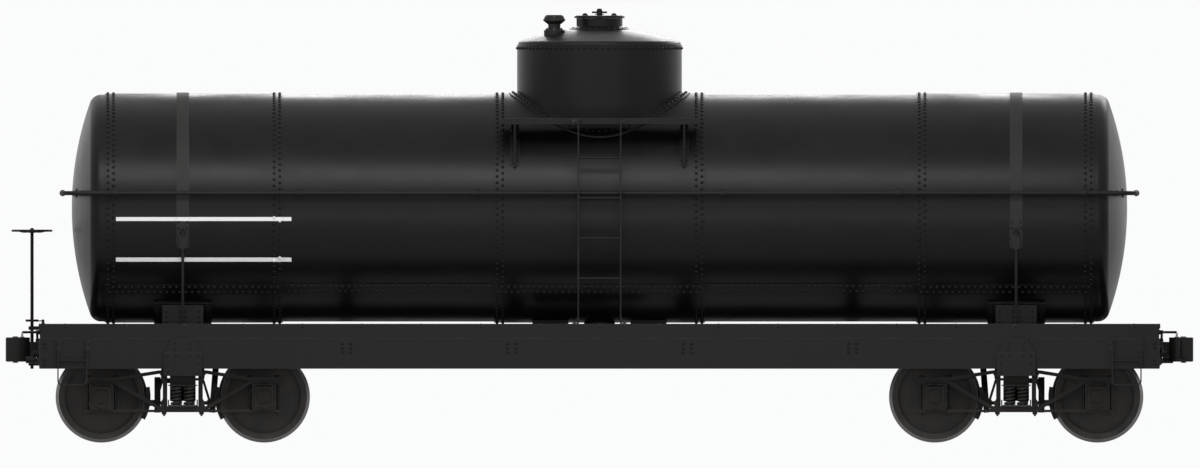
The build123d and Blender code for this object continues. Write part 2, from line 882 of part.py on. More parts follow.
def at(points, name):
    """A named point of a dished head, for a head whose axis is upright."""
    return (points[name][1], points[name][0])


def on_crown(radius):
    """The point of the crown at this distance from the dome's axis."""
    return (radius, crown_centre + sqrt(dome_dish**2 - radius**2))


crown_half = (manway_radius + crown["tangent"][1]) / 2
crown_edge = on_crown(manway_radius)
# the base flange follows the tank's round
with BuildPart() as dome_base:
    with BuildSketch(level(tank_z)):
        Circle(dome_radius + dome_flange)
        Circle(dome_radius - dome_plate, mode=Mode.SUBTRACT)
    extrude(amount=tank_radius + 100)
    with Locations(Location((0, 0, tank_z), (0, 90, 0))):
        Cylinder(tank_radius + tank_lap, 2 * dome_course_half, mode=Mode.INTERSECT)
with BuildPart() as dome:
    with BuildSketch(along(0)):
        with BuildLine():
            Polyline(
                (dome_radius - dome_plate, tank_z),
                (dome_radius, tank_z),
                (dome_radius, shell_top),
                (crown["rim"][1], shell_top),
                at(crown, "rim"),
            )
            ThreePointArc(at(crown, "rim"), at(crown, "knuckle_mid"), at(crown, "tangent"))
            ThreePointArc(at(crown, "tangent"), on_crown(crown_half), crown_edge)
            Polyline(
                crown_edge,
                (manway_radius, crown_edge[1] - dome_plate),
                (dome_radius - 2 * dome_plate, shell_top - 2 * dome_plate),
                (dome_radius - 2 * dome_plate, skirt_z),
                (dome_radius - dome_plate, skirt_z),
                (dome_radius - dome_plate, tank_z),
            )
        make_face()
    revolve(axis=Axis.Z)
    add(dome_base.part)
    add(tank_seat, mode=Mode.SUBTRACT)
save(dome.part, "dome")


def seat_on_crown():
    """Cuts the feet of fittings to the round of the dome's crown."""
    with Locations((0, 0, crown_centre)):
        Sphere(dome_dish + seat_gap, mode=Mode.SUBTRACT)


# Manway: the neck on the crown, with the two ears of the cover's hinge
hinge_z = manway_top - 15.0
ear_x = 44.0
ear_thickness = 16.0
hinge_pin = 10.0
neck_foot = crown_top - 60.0
ear = [
    (manway_radius + 8, manway_top - 70),
    (hinge_y - 10, hinge_z - 24),
    (hinge_y + 16, hinge_z - 18),
    (hinge_y + 24, hinge_z),
    (hinge_y + 16, hinge_z + 18),
    (hinge_y - 14, hinge_z + 18),
    (hinge_y - 26, hinge_z + 8),
    (manway_radius + 8, hinge_z - 12),
]
with BuildPart() as manway_ring:
    with BuildSketch(level(neck_foot)):
        Circle(manway_radius + manway_wall)
        Circle(manway_radius, mode=Mode.SUBTRACT)
    extrude(amount=manway_top - neck_foot)
    for side in SIDES:
        slab(across(side * ear_x), ear, ear_thickness)
    pin_end = ear_x + ear_thickness
    rod((-pin_end, hinge_y, hinge_z), (pin_end, hinge_y, hinge_z), hinge_pin)
    seat_on_crown()
save(manway_ring.part, "manway_ring")

# Manway cover: a disc on a hinged strap, with two lugs for the bar that turns the screw
cover_z = manway_top + seat_gap
cover_top = cover_z + cover_thickness
strap_top = cover_top + 12.0
lug_x = 140.0
lug_radius = 29.0
lug_thickness = 22.0
strap_half = 26.0
strap = [
    (0, strap_top),
    (cover_radius + 10, strap_top),
    (hinge_y + 10, hinge_z + 21),
    (hinge_y + 22, hinge_z + 8),
    (hinge_y + 22, hinge_z - 12),
    (hinge_y, hinge_z - 22),
    (hinge_y - 20, hinge_z - 10),
    (cover_radius - 4, cover_z),
    (cover_radius - 20, cover_top - 4),
    (0, cover_top - 4),
]
with BuildPart() as dome_cover:
    with Locations((0, 0, cover_z)):
        Cylinder(cover_radius, cover_thickness, align=UP)
    slab(across(0), strap, strap_half * 2)
    rod(
        (-strap_half - 1, hinge_y, hinge_z),
        (strap_half + 1, hinge_y, hinge_z),
        hinge_pin + pin_gap,
        mode=Mode.SUBTRACT,
    )
    for side in SIDES:
        with BuildSketch(along(0)):
            with Locations((side * lug_x, cover_top)):
                Circle(lug_radius)
            with Locations((side * lug_x, cover_top - lug_radius)):
                Rectangle(4 * lug_radius, 2 * lug_radius, mode=Mode.SUBTRACT)
        extrude(amount=lug_thickness / 2, both=True)
save(dome_cover.part, "dome_cover")

# The screw that presses the cover down: a spindle with a pointed end and a cross handle
spindle_top = manway_top + 93.0
handle_z = spindle_top - 36.0
handle_half = 73.0
handle_radius = 9.0
spindle_foot = 44.0
spindle_radius = 28.0
spindle = [
    (0, strap_top + seat_gap),
    (spindle_foot, strap_top + seat_gap),
    (spindle_foot, strap_top + 10),
    (spindle_radius, strap_top + 10),
    (spindle_radius, spindle_top - 14),
    (spindle_radius - 10, spindle_top),
    (0, spindle_top),
]
with BuildPart() as cover_handle:
    with BuildSketch(along(0)):
        with BuildLine():
            Polyline(*spindle, close=True)
        make_face()
    revolve(axis=Axis.Z)
    rod((-handle_half, 0, handle_z), (handle_half, 0, handle_z), handle_radius)
save(cover_handle.part, "cover_handle")

# Safety valves: two cast valves bolted to the dome's crown
valve_foot = crown_centre + sqrt(dome_dish**2 - valve_x**2 - valve_y**2)
valve = [
    # radius, height above the foot
    (0, -60),
    (100, -60),
    (100, 30),
    (59, 36),
    (59, 84),
    (107, 122),
    (107, 134),
    (77, 177),
    (0, 177),
]
with BuildPart() as one_valve:
    with BuildSketch(along(0)):
        with BuildLine():
            Polyline(*[(radius, valve_foot + height) for radius, height in valve], close=True)
        make_face()
    revolve(axis=Axis.Z)
with BuildPart() as safety_valves:
    with Locations((valve_x, valve_y, 0), (valve_x, -valve_y, 0)):
        add(one_valve.part)
    seat_on_crown()
save(safety_valves.part, "safety_valves")

# Tank bands: a flat band over the tank above each truck, drawn down by a rod on each side
band_inner = tank_radius + seat_gap
lug_reach = 40.0
pull_radius = 14.0
pull_line = band_inner + lug_reach / 2
wrap = radians(band_wrap)
lug_start = radians(band_wrap - 7.0)
saddle_base = sill_top + bolster_plate
pull_top = (pull_line * cos(wrap), tank_z - pull_line * sin(wrap))
pull_run = (pull_top[1] - saddle_base - seat_gap) / cos(wrap)
pull_foot_y = pull_top[0] - pull_run * sin(wrap)
band_fan = [
    (0, tank_z),
    (2 * tank_radius * cos(wrap), tank_z - 2 * tank_radius * sin(wrap)),
    (2 * tank_radius, tank_z + 2 * tank_radius),
    (-2 * tank_radius, tank_z + 2 * tank_radius),
    (-2 * tank_radius * cos(wrap), tank_z - 2 * tank_radius * sin(wrap)),
]
band_lug = [
    (radius * cos(angle), tank_z - radius * sin(angle))
    for radius, angle in (
        (band_inner, wrap),
        (band_inner + lug_reach, wrap),
        (band_inner + lug_reach, lug_start),
        (band_inner, lug_start),
    )
]
with BuildPart() as tank_bands:
    for _, sign, _ in ENDS:
        x = sign * truck_x
        with BuildSketch(across(x)):
            with Locations((0, tank_z)):
                Circle(band_inner + band_thickness)
                Circle(band_inner, mode=Mode.SUBTRACT)
            with BuildLine():
                Polyline(*band_fan, close=True)
            make_face(mode=Mode.INTERSECT)
        extrude(amount=band_width / 2, both=True)
        for side in SIDES:
            slab(across(x), on_side(side, band_lug), band_width / 2)
            rod(
                (x, side * (pull_foot_y + 4), saddle_base + 12),
                (x, side * pull_top[0], pull_top[1]),
                pull_radius,
            )
            block(
                (x - 40, x + 40),
                (side * (pull_foot_y - 26), side * (pull_foot_y + 34)),
                (saddle_base + seat_gap, saddle_base + 40),
            )
    add(tank_seat, mode=Mode.SUBTRACT)
save(tank_bands.part, "tank_bands")

# Tank saddles: cradles on the body bolsters, ribbed under a plate that follows the tank
cradle_y = 640.0
cradle_plate = 20.0
saddle_edge = band_inner + saddle_plate
lean = radians(saddle_wrap)
saddle_fan = [
    (0, tank_z),
    (1.5 * tank_radius * sin(lean), tank_z - 1.5 * tank_radius * cos(lean)),
    (-1.5 * tank_radius * sin(lean), tank_z - 1.5 * tank_radius * cos(lean)),
]
with BuildPart() as saddle:
    rib_z = (saddle_base + 1, tank_z - 800.0)
    rib_half = cradle_plate / 2
    for x in (rib_half - bolster_reach + 2, 0, bolster_reach - 2 - rib_half):
        block((x - rib_half, x + rib_half), (-cradle_y, cradle_y), rib_z)
    for side in SIDES:
        block(
            (2 - bolster_reach, bolster_reach - 2),
            (side * (cradle_y - cradle_plate), side * cradle_y),
            rib_z,
        )
    with Locations(Location((0, 0, tank_z), (0, 90, 0))):
        Cylinder(saddle_edge - 10, saddle_length, mode=Mode.SUBTRACT)
    with BuildSketch(across(0)):
        with Locations((0, tank_z)):
            Circle(saddle_edge)
            Circle(band_inner, mode=Mode.SUBTRACT)
        with BuildLine():
            Polyline(*saddle_fan, close=True)
        make_face(mode=Mode.INTERSECT)
    extrude(amount=saddle_length / 2, both=True)
    block(
        (-bolster_reach, bolster_reach),
        (-cradle_y, cradle_y),
        (saddle_base + seat_gap, saddle_base + cradle_plate),
    )
with BuildPart() as tank_saddles:
    with Locations((truck_x, 0, 0), (-truck_x, 0, 0)):
        add(saddle.part)
save(tank_saddles.part, "tank_saddles")

# Tank anchors: brackets on the centre sill that keep the tank from sliding, either side of
# the outlet
anchor_x = (300.0, 650.0)
anchor_y = centre_flange_y - 15.0
anchor_base = sill_top + edge_plate
anchor_foot = 14.0
anchor_pad = tank_z - tank_radius - anchor_foot
anchor_wrap = 54.0
anchor_rib = 16.0
with BuildPart() as tank_anchors:
    for sign in SIDES:
        near, far = sign * anchor_x[0], sign * anchor_x[1]
        across_sill = (-anchor_y, anchor_y)
        rib_z = (anchor_base + anchor_foot - 1, anchor_pad + 1)
        block((near, far), across_sill, (anchor_base + seat_gap, anchor_base + anchor_foot))
        block((near, far), across_sill, (anchor_pad, anchor_pad + anchor_wrap))
        block((near, far), (-anchor_rib / 2, anchor_rib / 2), rib_z)
        for x in (near + sign * 30, (near + far) / 2, far - sign * 30):
            block((x - anchor_rib / 2, x + anchor_rib / 2), across_sill, rib_z)
    add(tank_seat, mode=Mode.SUBTRACT)
save(tank_anchors.part, "tank_anchors")

# Handrail: a round rail all round the tank, on stubs from the shell and the heads
bend_x = handrail_x - handrail_bend
bend_y = handrail_y - handrail_bend
rail_joint_x = bend_x - 60.0
side_stubs = (1200.0, 2900.0, tank_end - 410.0)
end_stub_y = 500.0
stub_radius = 15.0
with BuildPart() as handrail_sides:
    for side in SIDES:
        rod(
            (-rail_joint_x, side * handrail_y, handrail_z),
            (rail_joint_x, side * handrail_y, handrail_z),
            handrail_radius,
        )
        for x in side_stubs:
            for foot in ((x, side * bend_y, handrail_z), (-x, side * bend_y, handrail_z)):
                rod(foot, (foot[0], side * handrail_y, handrail_z), stub_radius)
    add(tank_seat, mode=Mode.SUBTRACT)
save(handrail_sides.part, "handrail_sides")

with BuildPart() as handrail_end:
    rod(
        (handrail_x, -bend_y, handrail_z),
        (handrail_x, bend_y, handrail_z),
        handrail_radius,
    )
    for side in SIDES:
        rod(
            (rail_joint_x, side * handrail_y, handrail_z),
            (bend_x, side * handrail_y, handrail_z),
            handrail_radius,
        )
        with BuildSketch(across(bend_x)) as rail_section:
            with Locations((side * handrail_y, handrail_z)):
                Circle(handrail_radius)
        turn_axis = Axis((bend_x, side * bend_y, handrail_z), (0, 0, -side))
        revolve(rail_section.sketch, axis=turn_axis, revolution_arc=90)
        rod(
            (tank_end - 80, side * end_stub_y, handrail_z),
            (handrail_x, side * end_stub_y, handrail_z),
            stub_radius,
        )
    add(tank_seat, mode=Mode.SUBTRACT)
save(both_ends(handrail_end.part), "handrail_ends")

# Dome platforms: two planks in a steel edge on each side of the dome, on brackets
platform_plank = (platform_outer_y - platform_inner_y - plank_gap) / 2
platform_bottom = platform_top - 48.0
edge_bottom = platform_top - 56.0
platform_edge_y = platform_outer_y + 9.0
bracket_x = platform_half - 140.0
bracket_foot_z = platform_top - 470.0
bracket_plate = 14.0
bracket_flange = (70.0, 12.0)
bracket = [
    (700, platform_bottom),
    (platform_outer_y, platform_bottom),
    (platform_outer_y, edge_bottom - 20),
    ((platform_outer_y - 95, edge_bottom - 190), (1060, bracket_foot_z)),
    (960, bracket_foot_z),
]
with BuildPart() as dome_platforms:
    for side in SIDES:
        for start in (platform_inner_y, platform_inner_y + platform_plank + plank_gap):
            block(
                (-platform_half, platform_half),
                (side * start, side * (start + platform_plank)),
                (platform_bottom, platform_top),
            )
        block(
            (-platform_half, platform_half),
            (side * platform_outer_y, side * platform_edge_y),
            (edge_bottom, platform_top),
        )
        for x in (-bracket_x, bracket_x):
            slab(across(x), on_side(side, bracket), bracket_plate)
            block(
                (x - bracket_flange[0] / 2, x + bracket_flange[0] / 2),
                (side * (platform_inner_y - 55), side * platform_outer_y),
                (platform_bottom - bracket_flange[1], platform_bottom),
            )
    add(tank_seat, mode=Mode.SUBTRACT)
save(dome_platforms.part, "dome_platforms")

# Ladders: flat stiles from the running board to the dome platform, with round rungs
stile_thickness = 12.0
rung_radius = 11.0
rung_pitch = 390.0
rung_drop = 381.0
rung_heights = [platform_top - rung_drop - step * rung_pitch for step in range(4)]
ladder_y = platform_edge_y + seat_gap
with BuildPart() as ladders:
    for side in SIDES:
        for x in (-ladder_half, ladder_half):
            block(
                (x - stile_thickness / 2, x + stile_thickness / 2),
                (side * ladder_y, side * (ladder_y + ladder_depth)),
                (deck_top + seat_gap, platform_top),
            )
        rung_y = side * (ladder_y + ladder_depth / 2)
        for z in rung_heights:
            rod((-ladder_half, rung_y, z), (ladder_half, rung_y, z), rung_radius)
save(ladders.part, "ladders")

# Sill steps: bent flat bars under the side sills at each corner, with two treads
step_bar = 13.0
step_depth = 50.0
step_bend = 40.0
step_foot = (56.0, 120.0)
tread_z = step_bottom + 245.0
step_top = sill_top - 9.0
step_half = step_width / 2 - step_bar / 2
step_loop = mirrored([(step_half, step_top), (step_half, step_bottom + step_bar / 2)])
tread = [(-step_half, tread_z), (step_half, tread_z)]
with BuildPart() as sill_steps:
    for x in (-step_x, step_x):
        for side in SIDES:
            y = half_width + seat_gap
            for line in (step_loop, tread):
                bar = ribbon([(x + reach, z) for reach, z in line], step_bar, step_bend)
                slab(along(side * (y + step_depth / 2)), bar, step_depth)
            for leg in (x - step_half, x + step_half):
                block(
                    (leg - step_foot[0] / 2, leg + step_foot[0] / 2),
                    (side * y, side * (y + step_bar)),
                    (step_top - step_foot[1], step_top),
                )
save(sill_steps.part, "sill_steps")

# Grab irons on the end sills
grab_y = (half_width - 640.0, half_width - 220.0)
grab_x = half_length + 65.0
grab_z = sill_bottom + 165.0
grab_radius = 10.0
with BuildPart() as end_grabs:
    for side in SIDES:
        inner, outer = side * grab_y[0], side * grab_y[1]
        for y in (inner, outer):
            rod((half_length + seat_gap, y, grab_z), (grab_x, y, grab_z), grab_radius)
        rod((grab_x, inner, grab_z), (grab_x, outer, grab_z), grab_radius)
save(both_ends(end_grabs.part), "end_grab_irons")

# Couplers: the head with its guard arm and the shank, and the knuckle on its pin
pivot = (coupler_face - 95.0, -100.0)
ear_radius = 52.0
knuckle_hub = 45.0
knuckle_pin = 20.0
pin_reach = 11.0
knuckle_half = 114.0
head_half = 118.0
lug_low = 94.0
coupler_plane = Plane((coupler_face, 0, coupler_z))
shank_half = (60.0, 75.0)
head_depth = 235.0
head_outline = [
    # back from the pulling face, and across the car: the shank's side, the hinge side, the
    # throat, and the guard arm
    (-head_depth, -shank_half[0]),
    ((-212, -116), (-170, -150)),
    (-128, -150),
    (-128, -40),
    (-112, 0),
    ((-84, 90), (-8, 146)),
    (-8, 166),
    ((-13, 176), (-24, 178)),
    (-90, 176),
    ((-184, 145), (-head_depth, shank_half[0])),
]
nose_outline = [
    (-95, -145),
    (-40, -142),
    ((-11, -123), (0, -90)),
    (0, -30),
    ((-12, -6), (-38, -2)),
    ((-60, -19), (-62, -48)),
    (-95, -56),
]
with BuildPart() as coupler:
    slab(coupler_plane, head_outline, head_half * 2)
    for side in SIDES:
        with BuildSketch(level(coupler_z + side * (lug_low + head_half) / 2)):
            with Locations(pivot):
                Circle(ear_radius)
            with Locations((pivot[0] - 30, pivot[1])):
                Rectangle(60, 2 * ear_radius)
        extrude(amount=(head_half - lug_low) / 2, both=True)
    with Locations((*pivot, coupler_z)):
        Cylinder(ear_radius + 8, lug_low * 2, mode=Mode.SUBTRACT)
        Cylinder(knuckle_pin, head_half * 2 + 2 * pin_reach)
    block(
        (draft_end + seat_gap, coupler_face - head_depth + 5),
        (-shank_half[0], shank_half[0]),
        (coupler_z - shank_half[1], coupler_z + shank_half[1]),
    )
with BuildPart() as knuckle:
    slab(coupler_plane, nose_outline, knuckle_half * 2)
    # above and below the hub the nose stays clear of the coupler's lugs
    hub_half = lug_low - pass_gap
    for low in (hub_half, -knuckle_half - 1):
        with Locations((*pivot, coupler_z + low)):
            Cylinder(
                ear_radius + pass_gap,
                knuckle_half - hub_half + 1,
                align=UP,
                mode=Mode.SUBTRACT,
            )
    with Locations((*pivot, coupler_z)):
        Cylinder(knuckle_hub, hub_half * 2)
        Cylinder(knuckle_pin + pin_gap, knuckle_half * 2 + 2, mode=Mode.SUBTRACT)
for end, _, turn in ENDS:
    save(coupler.part, f"coupler_{end}", 0, turn)
    save(knuckle.part, f"knuckle_{end}", 0, turn)

# Draft gears: the spring case and yoke between the centre sills, behind each coupler
case_half = (140.0, 90.0)
follower = 60.0
yoke_half = 52.0
yoke_thickness = 17.0
with BuildPart() as draft_gear:
    block(
        (draft_start, draft_end),
        (-case_half[0], case_half[0]),
        (coupler_z - case_half[1], coupler_z + case_half[1]),
    )
    for x in (draft_start, draft_end - follower):
        block(
            (x, x + follower),
            (-centre_web_y + seat_gap, centre_web_y - seat_gap),
            (coupler_z - case_half[1] - 20, coupler_z + case_half[1] + 5),
        )
    for side in SIDES:
        near = coupler_z + side * case_half[1]
        block(
            (draft_start - 40, draft_end - 20),
            (-yoke_half, yoke_half),
            (near, near + side * yoke_thickness),
        )
save(both_ends(draft_gear.part), "draft_gears")

# Uncoupling levers: a bent rod across each end, held off the deck edge by two brackets
lever_x = half_length + 24.0
lever_z = sill_top + 60.0
lever_end_y = 110.0 - half_width
lever_arm_y = 18.0
lever_arm_x = coupler_face - 160.0
lever_radius = 12.0
lever_handle = 200.0
lever_eye = 20.0
with BuildPart() as uncoupling_lever:
    for start, stop in (
        ((lever_x, lever_end_y, lever_z), (lever_x, lever_arm_y + lever_radius, lever_z)),
        (
            (lever_x, lever_end_y, lever_z + lever_radius),
            (lever_x, lever_end_y, lever_z - lever_handle),
        ),
        ((lever_x, lever_arm_y, lever_z), (lever_arm_x, lever_arm_y, lever_z)),
    ):
        rod(start, stop, lever_radius)
    for y in (lever_end_y + 160, -220):
        block(
            (half_length + seat_gap, lever_x + lever_eye - 6),
            (y - lever_eye, y + lever_eye),
            (lever_z - lever_eye, lever_z + lever_eye),
        )
save(both_ends(uncoupling_lever.part), "uncoupling_levers")

# Brake cylinder and its reservoir in one line, hung from the centre sill
cylinder_z = rigging_z + 10.0
reservoir_x = (-650.0, 40.0)
reservoir_radius = 162.0
cylinder_end = 420.0
cylinder_radius = 125.0
cylinder_flange = (175.0, 20.0)
cylinder_nose = (60.0, 30.0)
hanger_x = (-520.0, 200.0)
with BuildPart() as brake_cylinder:
    for start, stop, radius in (
        (reservoir_x[0], reservoir_x[1], reservoir_radius),
        (reservoir_x[1], cylinder_end, cylinder_radius),
        (
            reservoir_x[1] - cylinder_flange[1],
            reservoir_x[1] + cylinder_flange[1],
            cylinder_flange[0],
        ),
        (cylinder_end, cylinder_end + cylinder_nose[1], cylinder_nose[0]),
    ):
        rod((start, -cylinder_y, cylinder_z), (stop, -cylinder_y, cylinder_z), radius)
    # each hanger is a plate with a foot against the centre sill, and the tie rod passes it
    for x in hanger_x:
        for half_x, reach in ((7, cylinder_y - 60), (50, centre_flange_y + 12)):
            block(
                (x - half_x, x + half_x),
                (-centre_flange_y - seat_gap, -reach),
                (cylinder_z, sill_top),
            )
        rod(
            (x - 20, -tie_rod_y, hand_rod_z),
            (x + 20, -tie_rod_y, hand_rod_z),
            rod_hole,
            mode=Mode.SUBTRACT,
        )
save(brake_cylinder.part, "brake_cylinder")

# Brake rigging on the body: two floating levers, the rods to the trucks and the hand brake rod
lever_bar = 75.0
lever_half = 10.0
piston_radius = 18.0
top_rod_end = truck_x - brake_x - 145.0
top_rod_z = rigging_z + lever_half
with BuildPart() as brake_rigging:
    for x, y_end in ((body_lever_x, lever_y + 30), (-body_lever_x, hand_rod_y + 30)):
        block(
            (x - lever_bar / 2, x + lever_bar / 2),
            (-cylinder_y - 30, y_end),
            (rigging_z - lever_half, rigging_z + lever_half),
        )
    for start, stop, y, z, radius in (
        (
            cylinder_end + cylinder_nose[1] + seat_gap,
            body_lever_x,
            -cylinder_y,
            cylinder_z,
            piston_radius,
        ),
        (reservoir_x[0] - seat_gap, -body_lever_x, -cylinder_y, cylinder_z, piston_radius),
        (body_lever_x, top_rod_end, lever_y, top_rod_z, rod_radius),
        (-body_lever_x, -top_rod_end, -lever_y, top_rod_z, rod_radius),
        (-body_lever_x, body_lever_x, -tie_rod_y, hand_rod_z, rod_radius),
        (-body_lever_x, -half_length + 30, hand_rod_y, hand_rod_z, rod_radius),
    ):
        rod((start, y, z), (stop, y, z), radius)
    for x, y in (
        (body_lever_x, -tie_rod_y),
        (-body_lever_x, -tie_rod_y),
        (-body_lever_x, hand_rod_y),
    ):
        rod((x, y, rigging_z - 24), (x, y, rigging_z + 44), rod_radius)
save(brake_rigging.part, "brake_rigging")

# Train pipe: from end to end, crossing over under the middle, with an angle cock at each end
cock_x = half_length + 60.0
cock_end = cock_x + 75.0
cock_radius = 32.0
cock_stem = (14.0, 62.0)
cock_handle = (100.0, 16.0, 10.0)
elbow_half = 30.0
clamp_half = (20.0, 8.0)
hose_bore = 17.0
bore_depth = 40.0
branch_x = -120.0
branch_radius = 16.0
with BuildPart() as train_pipe:
    # the branch to the reservoir, cut to its round
    rod(
        (branch_x, -train_pipe_y, train_pipe_z),
        (branch_x, -cylinder_y, train_pipe_z),
        branch_radius,
    )
    rod(
        (reservoir_x[0], -cylinder_y, cylinder_z),
        (reservoir_x[1], -cylinder_y, cylinder_z),
        reservoir_radius + seat_gap,
        mode=Mode.SUBTRACT,
    )
    for sign in SIDES:
        y = sign * train_pipe_y
        corner = (pipe_cross_x, y, train_pipe_z)
        cock = (sign * cock_x, y, train_pipe_z)
        rod(corner, cock, train_pipe_radius)
        rod((pipe_cross_x, 0, train_pipe_z), corner, train_pipe_radius)
        with Locations(corner):
            Cylinder(elbow_half, 2 * elbow_half)
        body_start = (sign * (cock_x - 25), y, train_pipe_z)
        rod(body_start, (sign * cock_end, y, train_pipe_z), cock_radius)
        handle_top = train_pipe_z + cock_stem[1] + cock_handle[2] / 2 - 1
        rod(cock, (sign * cock_x, y, train_pipe_z + cock_stem[1]), cock_stem[0])
        block(
            (sign * cock_x - cock_handle[1] / 2, sign * cock_x + cock_handle[1] / 2),
            (y - 10, y + cock_handle[0]),
            (handle_top - cock_handle[2], handle_top),
        )
        for x in (1600, 3000, half_length - 720):
            block(
                (sign * x - clamp_half[0], sign * x + clamp_half[0]),
                (sign * (centre_web_y + sill_web + seat_gap), y),
                (train_pipe_z - clamp_half[1], train_pipe_z + clamp_half[1]),
            )
        rod(
            (sign * (cock_end - bore_depth), y, train_pipe_z),
            (sign * (cock_end + 1), y, train_pipe_z),
            hose_bore,
            mode=Mode.SUBTRACT,
        )
save(train_pipe.part, "train_pipe")

# Hand brake: an upright staff at end b with its wheel and ratchet, turning in two brackets
staff = (-staff_x, hand_rod_y)
staff_radius = 16.0
bracket_height = 36.0
bracket_feet = (sill_bottom + 30.0, deck_top - 60.0)
ratchet_z = deck_top + 20.0
barrel_z = bracket_feet[0] + bracket_height + pass_gap
barrel_radius = 28.0
barrel_height = 110.0
ratchet_radius = 62.0
ratchet_teeth = 16
wheel_rim = 22.0
wheel_spoke = 26.0
wheel_hub = 40.0
bracket_half = 38.0
with BuildPart() as brake_staff:
    rod((*staff, sill_bottom), (*staff, staff_top), staff_radius)
    rod((*staff, barrel_z), (*staff, barrel_z + barrel_height), barrel_radius)
    with BuildSketch(level(ratchet_z)):
        with Locations(staff):
            RegularPolygon(ratchet_radius, ratchet_teeth)
    extrude(amount=wheel_rim)
    with BuildSketch(level(staff_top - wheel_hub)):
        with Locations(staff):
            Circle(brake_wheel_radius)
            Circle(brake_wheel_radius - wheel_rim, mode=Mode.SUBTRACT)
            with PolarLocations(0, 4):
                Rectangle(brake_wheel_radius - 4, wheel_spoke, align=(Align.MIN, Align.CENTER))
            Circle(wheel_hub)
    extrude(amount=wheel_rim)
save(brake_staff.part, "brake_staff")

with BuildPart() as hand_brake_bracket:
    for z in bracket_feet:
        block(
            (-half_length - seat_gap, -staff_x - bracket_half + 4),
            (hand_rod_y - bracket_half, hand_rod_y + bracket_half),
            (z, z + bracket_height),
        )
        rod(
            (*staff, z - 1),
            (*staff, z + bracket_height + 1),
            staff_radius + pin_gap,
            mode=Mode.SUBTRACT,
        )
save(hand_brake_bracket.part, "hand_brake_bracket")

# Bottom outlet: the discharge valve under the middle of the tank, between the centre sills
outlet = [
    # radius, height: the cap, the nozzle, the valve's body and the flange on the tank
    (0, sill_bottom + 12),
    (84, sill_bottom + 12),
    (84, sill_bottom + 52),
    (60, sill_bottom + 52),
    (60, sill_bottom + 190),
    (88, sill_bottom + 210),
    (88, sill_top + 60),
    (150, sill_top + 110),
    (150, tank_z - tank_radius + 30),
    (0, tank_z - tank_radius + 30),
]
with BuildPart() as bottom_outlet:
    with BuildSketch(along(0)):
        with BuildLine():
            Polyline(*outlet, close=True)
        make_face()
    revolve(axis=Axis.Z)
    add(tank_seat, mode=Mode.SUBTRACT)
save(bottom_outlet.part, "bottom_outlet")

# Heater pipes: the inlet and the drain of the steam coils, open at their lower ends
heater_y = 340.0
heater_foot = sill_bottom + 15.0
heater_x = (-350.0, -550.0)
heater_radius = 30.0
heater_bore = 24.0
heater_collar = (40.0, 35.0)
with BuildPart() as heater_pipes:
    for x in heater_x:
        foot = (x, heater_y, heater_foot)
        rod(foot, (x, heater_y, tank_z - tank_radius + 110), heater_radius)
        rod(foot, (x, heater_y, heater_foot + heater_collar[1]), heater_collar[0])
        rod(
            (x, heater_y, heater_foot - 1),
            (x, heater_y, heater_foot + 100),
            heater_bore,
            mode=Mode.SUBTRACT,
        )
    add(tank_seat, mode=Mode.SUBTRACT)
save(heater_pipes.part, "heater_pipes")
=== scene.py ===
# %% [markdown]
# # An early riveted tank car
#
# The car comes from a CAD model: a black tank on a steel underframe, carried by two trucks.
# Its plates, sills, wheels and couplers are right in size, but a CAD model has no rivets,
# no paint and no grain. This lesson adds them in Blender. The first cell brings the CAD
# model in, and nothing below moves it: every new piece is put where the CAD says.

# %% Bring in the car
import json
from itertools import product
from math import asin, cos, pi, radians, sin, sqrt, tau

import bmesh
import bpy
import numpy as np
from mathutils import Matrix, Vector


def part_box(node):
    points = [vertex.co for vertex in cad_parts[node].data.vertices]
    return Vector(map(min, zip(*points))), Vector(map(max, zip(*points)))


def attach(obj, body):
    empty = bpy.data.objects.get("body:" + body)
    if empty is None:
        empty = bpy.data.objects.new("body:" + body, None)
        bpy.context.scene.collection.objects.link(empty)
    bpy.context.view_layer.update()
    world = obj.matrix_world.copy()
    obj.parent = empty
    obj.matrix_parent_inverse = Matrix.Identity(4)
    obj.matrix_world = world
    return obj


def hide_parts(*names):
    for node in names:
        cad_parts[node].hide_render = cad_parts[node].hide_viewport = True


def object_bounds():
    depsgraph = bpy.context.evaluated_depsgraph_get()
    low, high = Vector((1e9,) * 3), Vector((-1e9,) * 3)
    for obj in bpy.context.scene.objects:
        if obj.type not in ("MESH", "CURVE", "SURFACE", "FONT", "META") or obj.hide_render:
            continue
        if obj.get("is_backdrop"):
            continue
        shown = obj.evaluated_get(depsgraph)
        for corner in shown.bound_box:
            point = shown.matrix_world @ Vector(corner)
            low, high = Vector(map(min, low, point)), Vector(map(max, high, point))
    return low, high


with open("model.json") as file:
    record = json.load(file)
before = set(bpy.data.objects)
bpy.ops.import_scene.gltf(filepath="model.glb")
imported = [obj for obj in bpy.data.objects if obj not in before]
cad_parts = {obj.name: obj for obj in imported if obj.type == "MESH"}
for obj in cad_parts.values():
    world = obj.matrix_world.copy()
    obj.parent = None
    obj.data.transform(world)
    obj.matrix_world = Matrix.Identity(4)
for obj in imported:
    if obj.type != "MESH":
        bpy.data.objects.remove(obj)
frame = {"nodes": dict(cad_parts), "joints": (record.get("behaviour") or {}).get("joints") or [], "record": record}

cad_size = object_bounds()
print("the CAD car measures", [round(high - low, 3) for low, high in zip(*cad_size)])

# %% [markdown]
# ## The view
#
# The drawing shows the car's side with no perspective, so the camera is orthographic and
# looks straight along Y. Its width is the drawing's width in metres plus a hand's breadth,
# so that the couplers at both ends are in the picture. A very long lens would do nearly
# the same, but its wheels on the far side would still peep out beside the near ones.

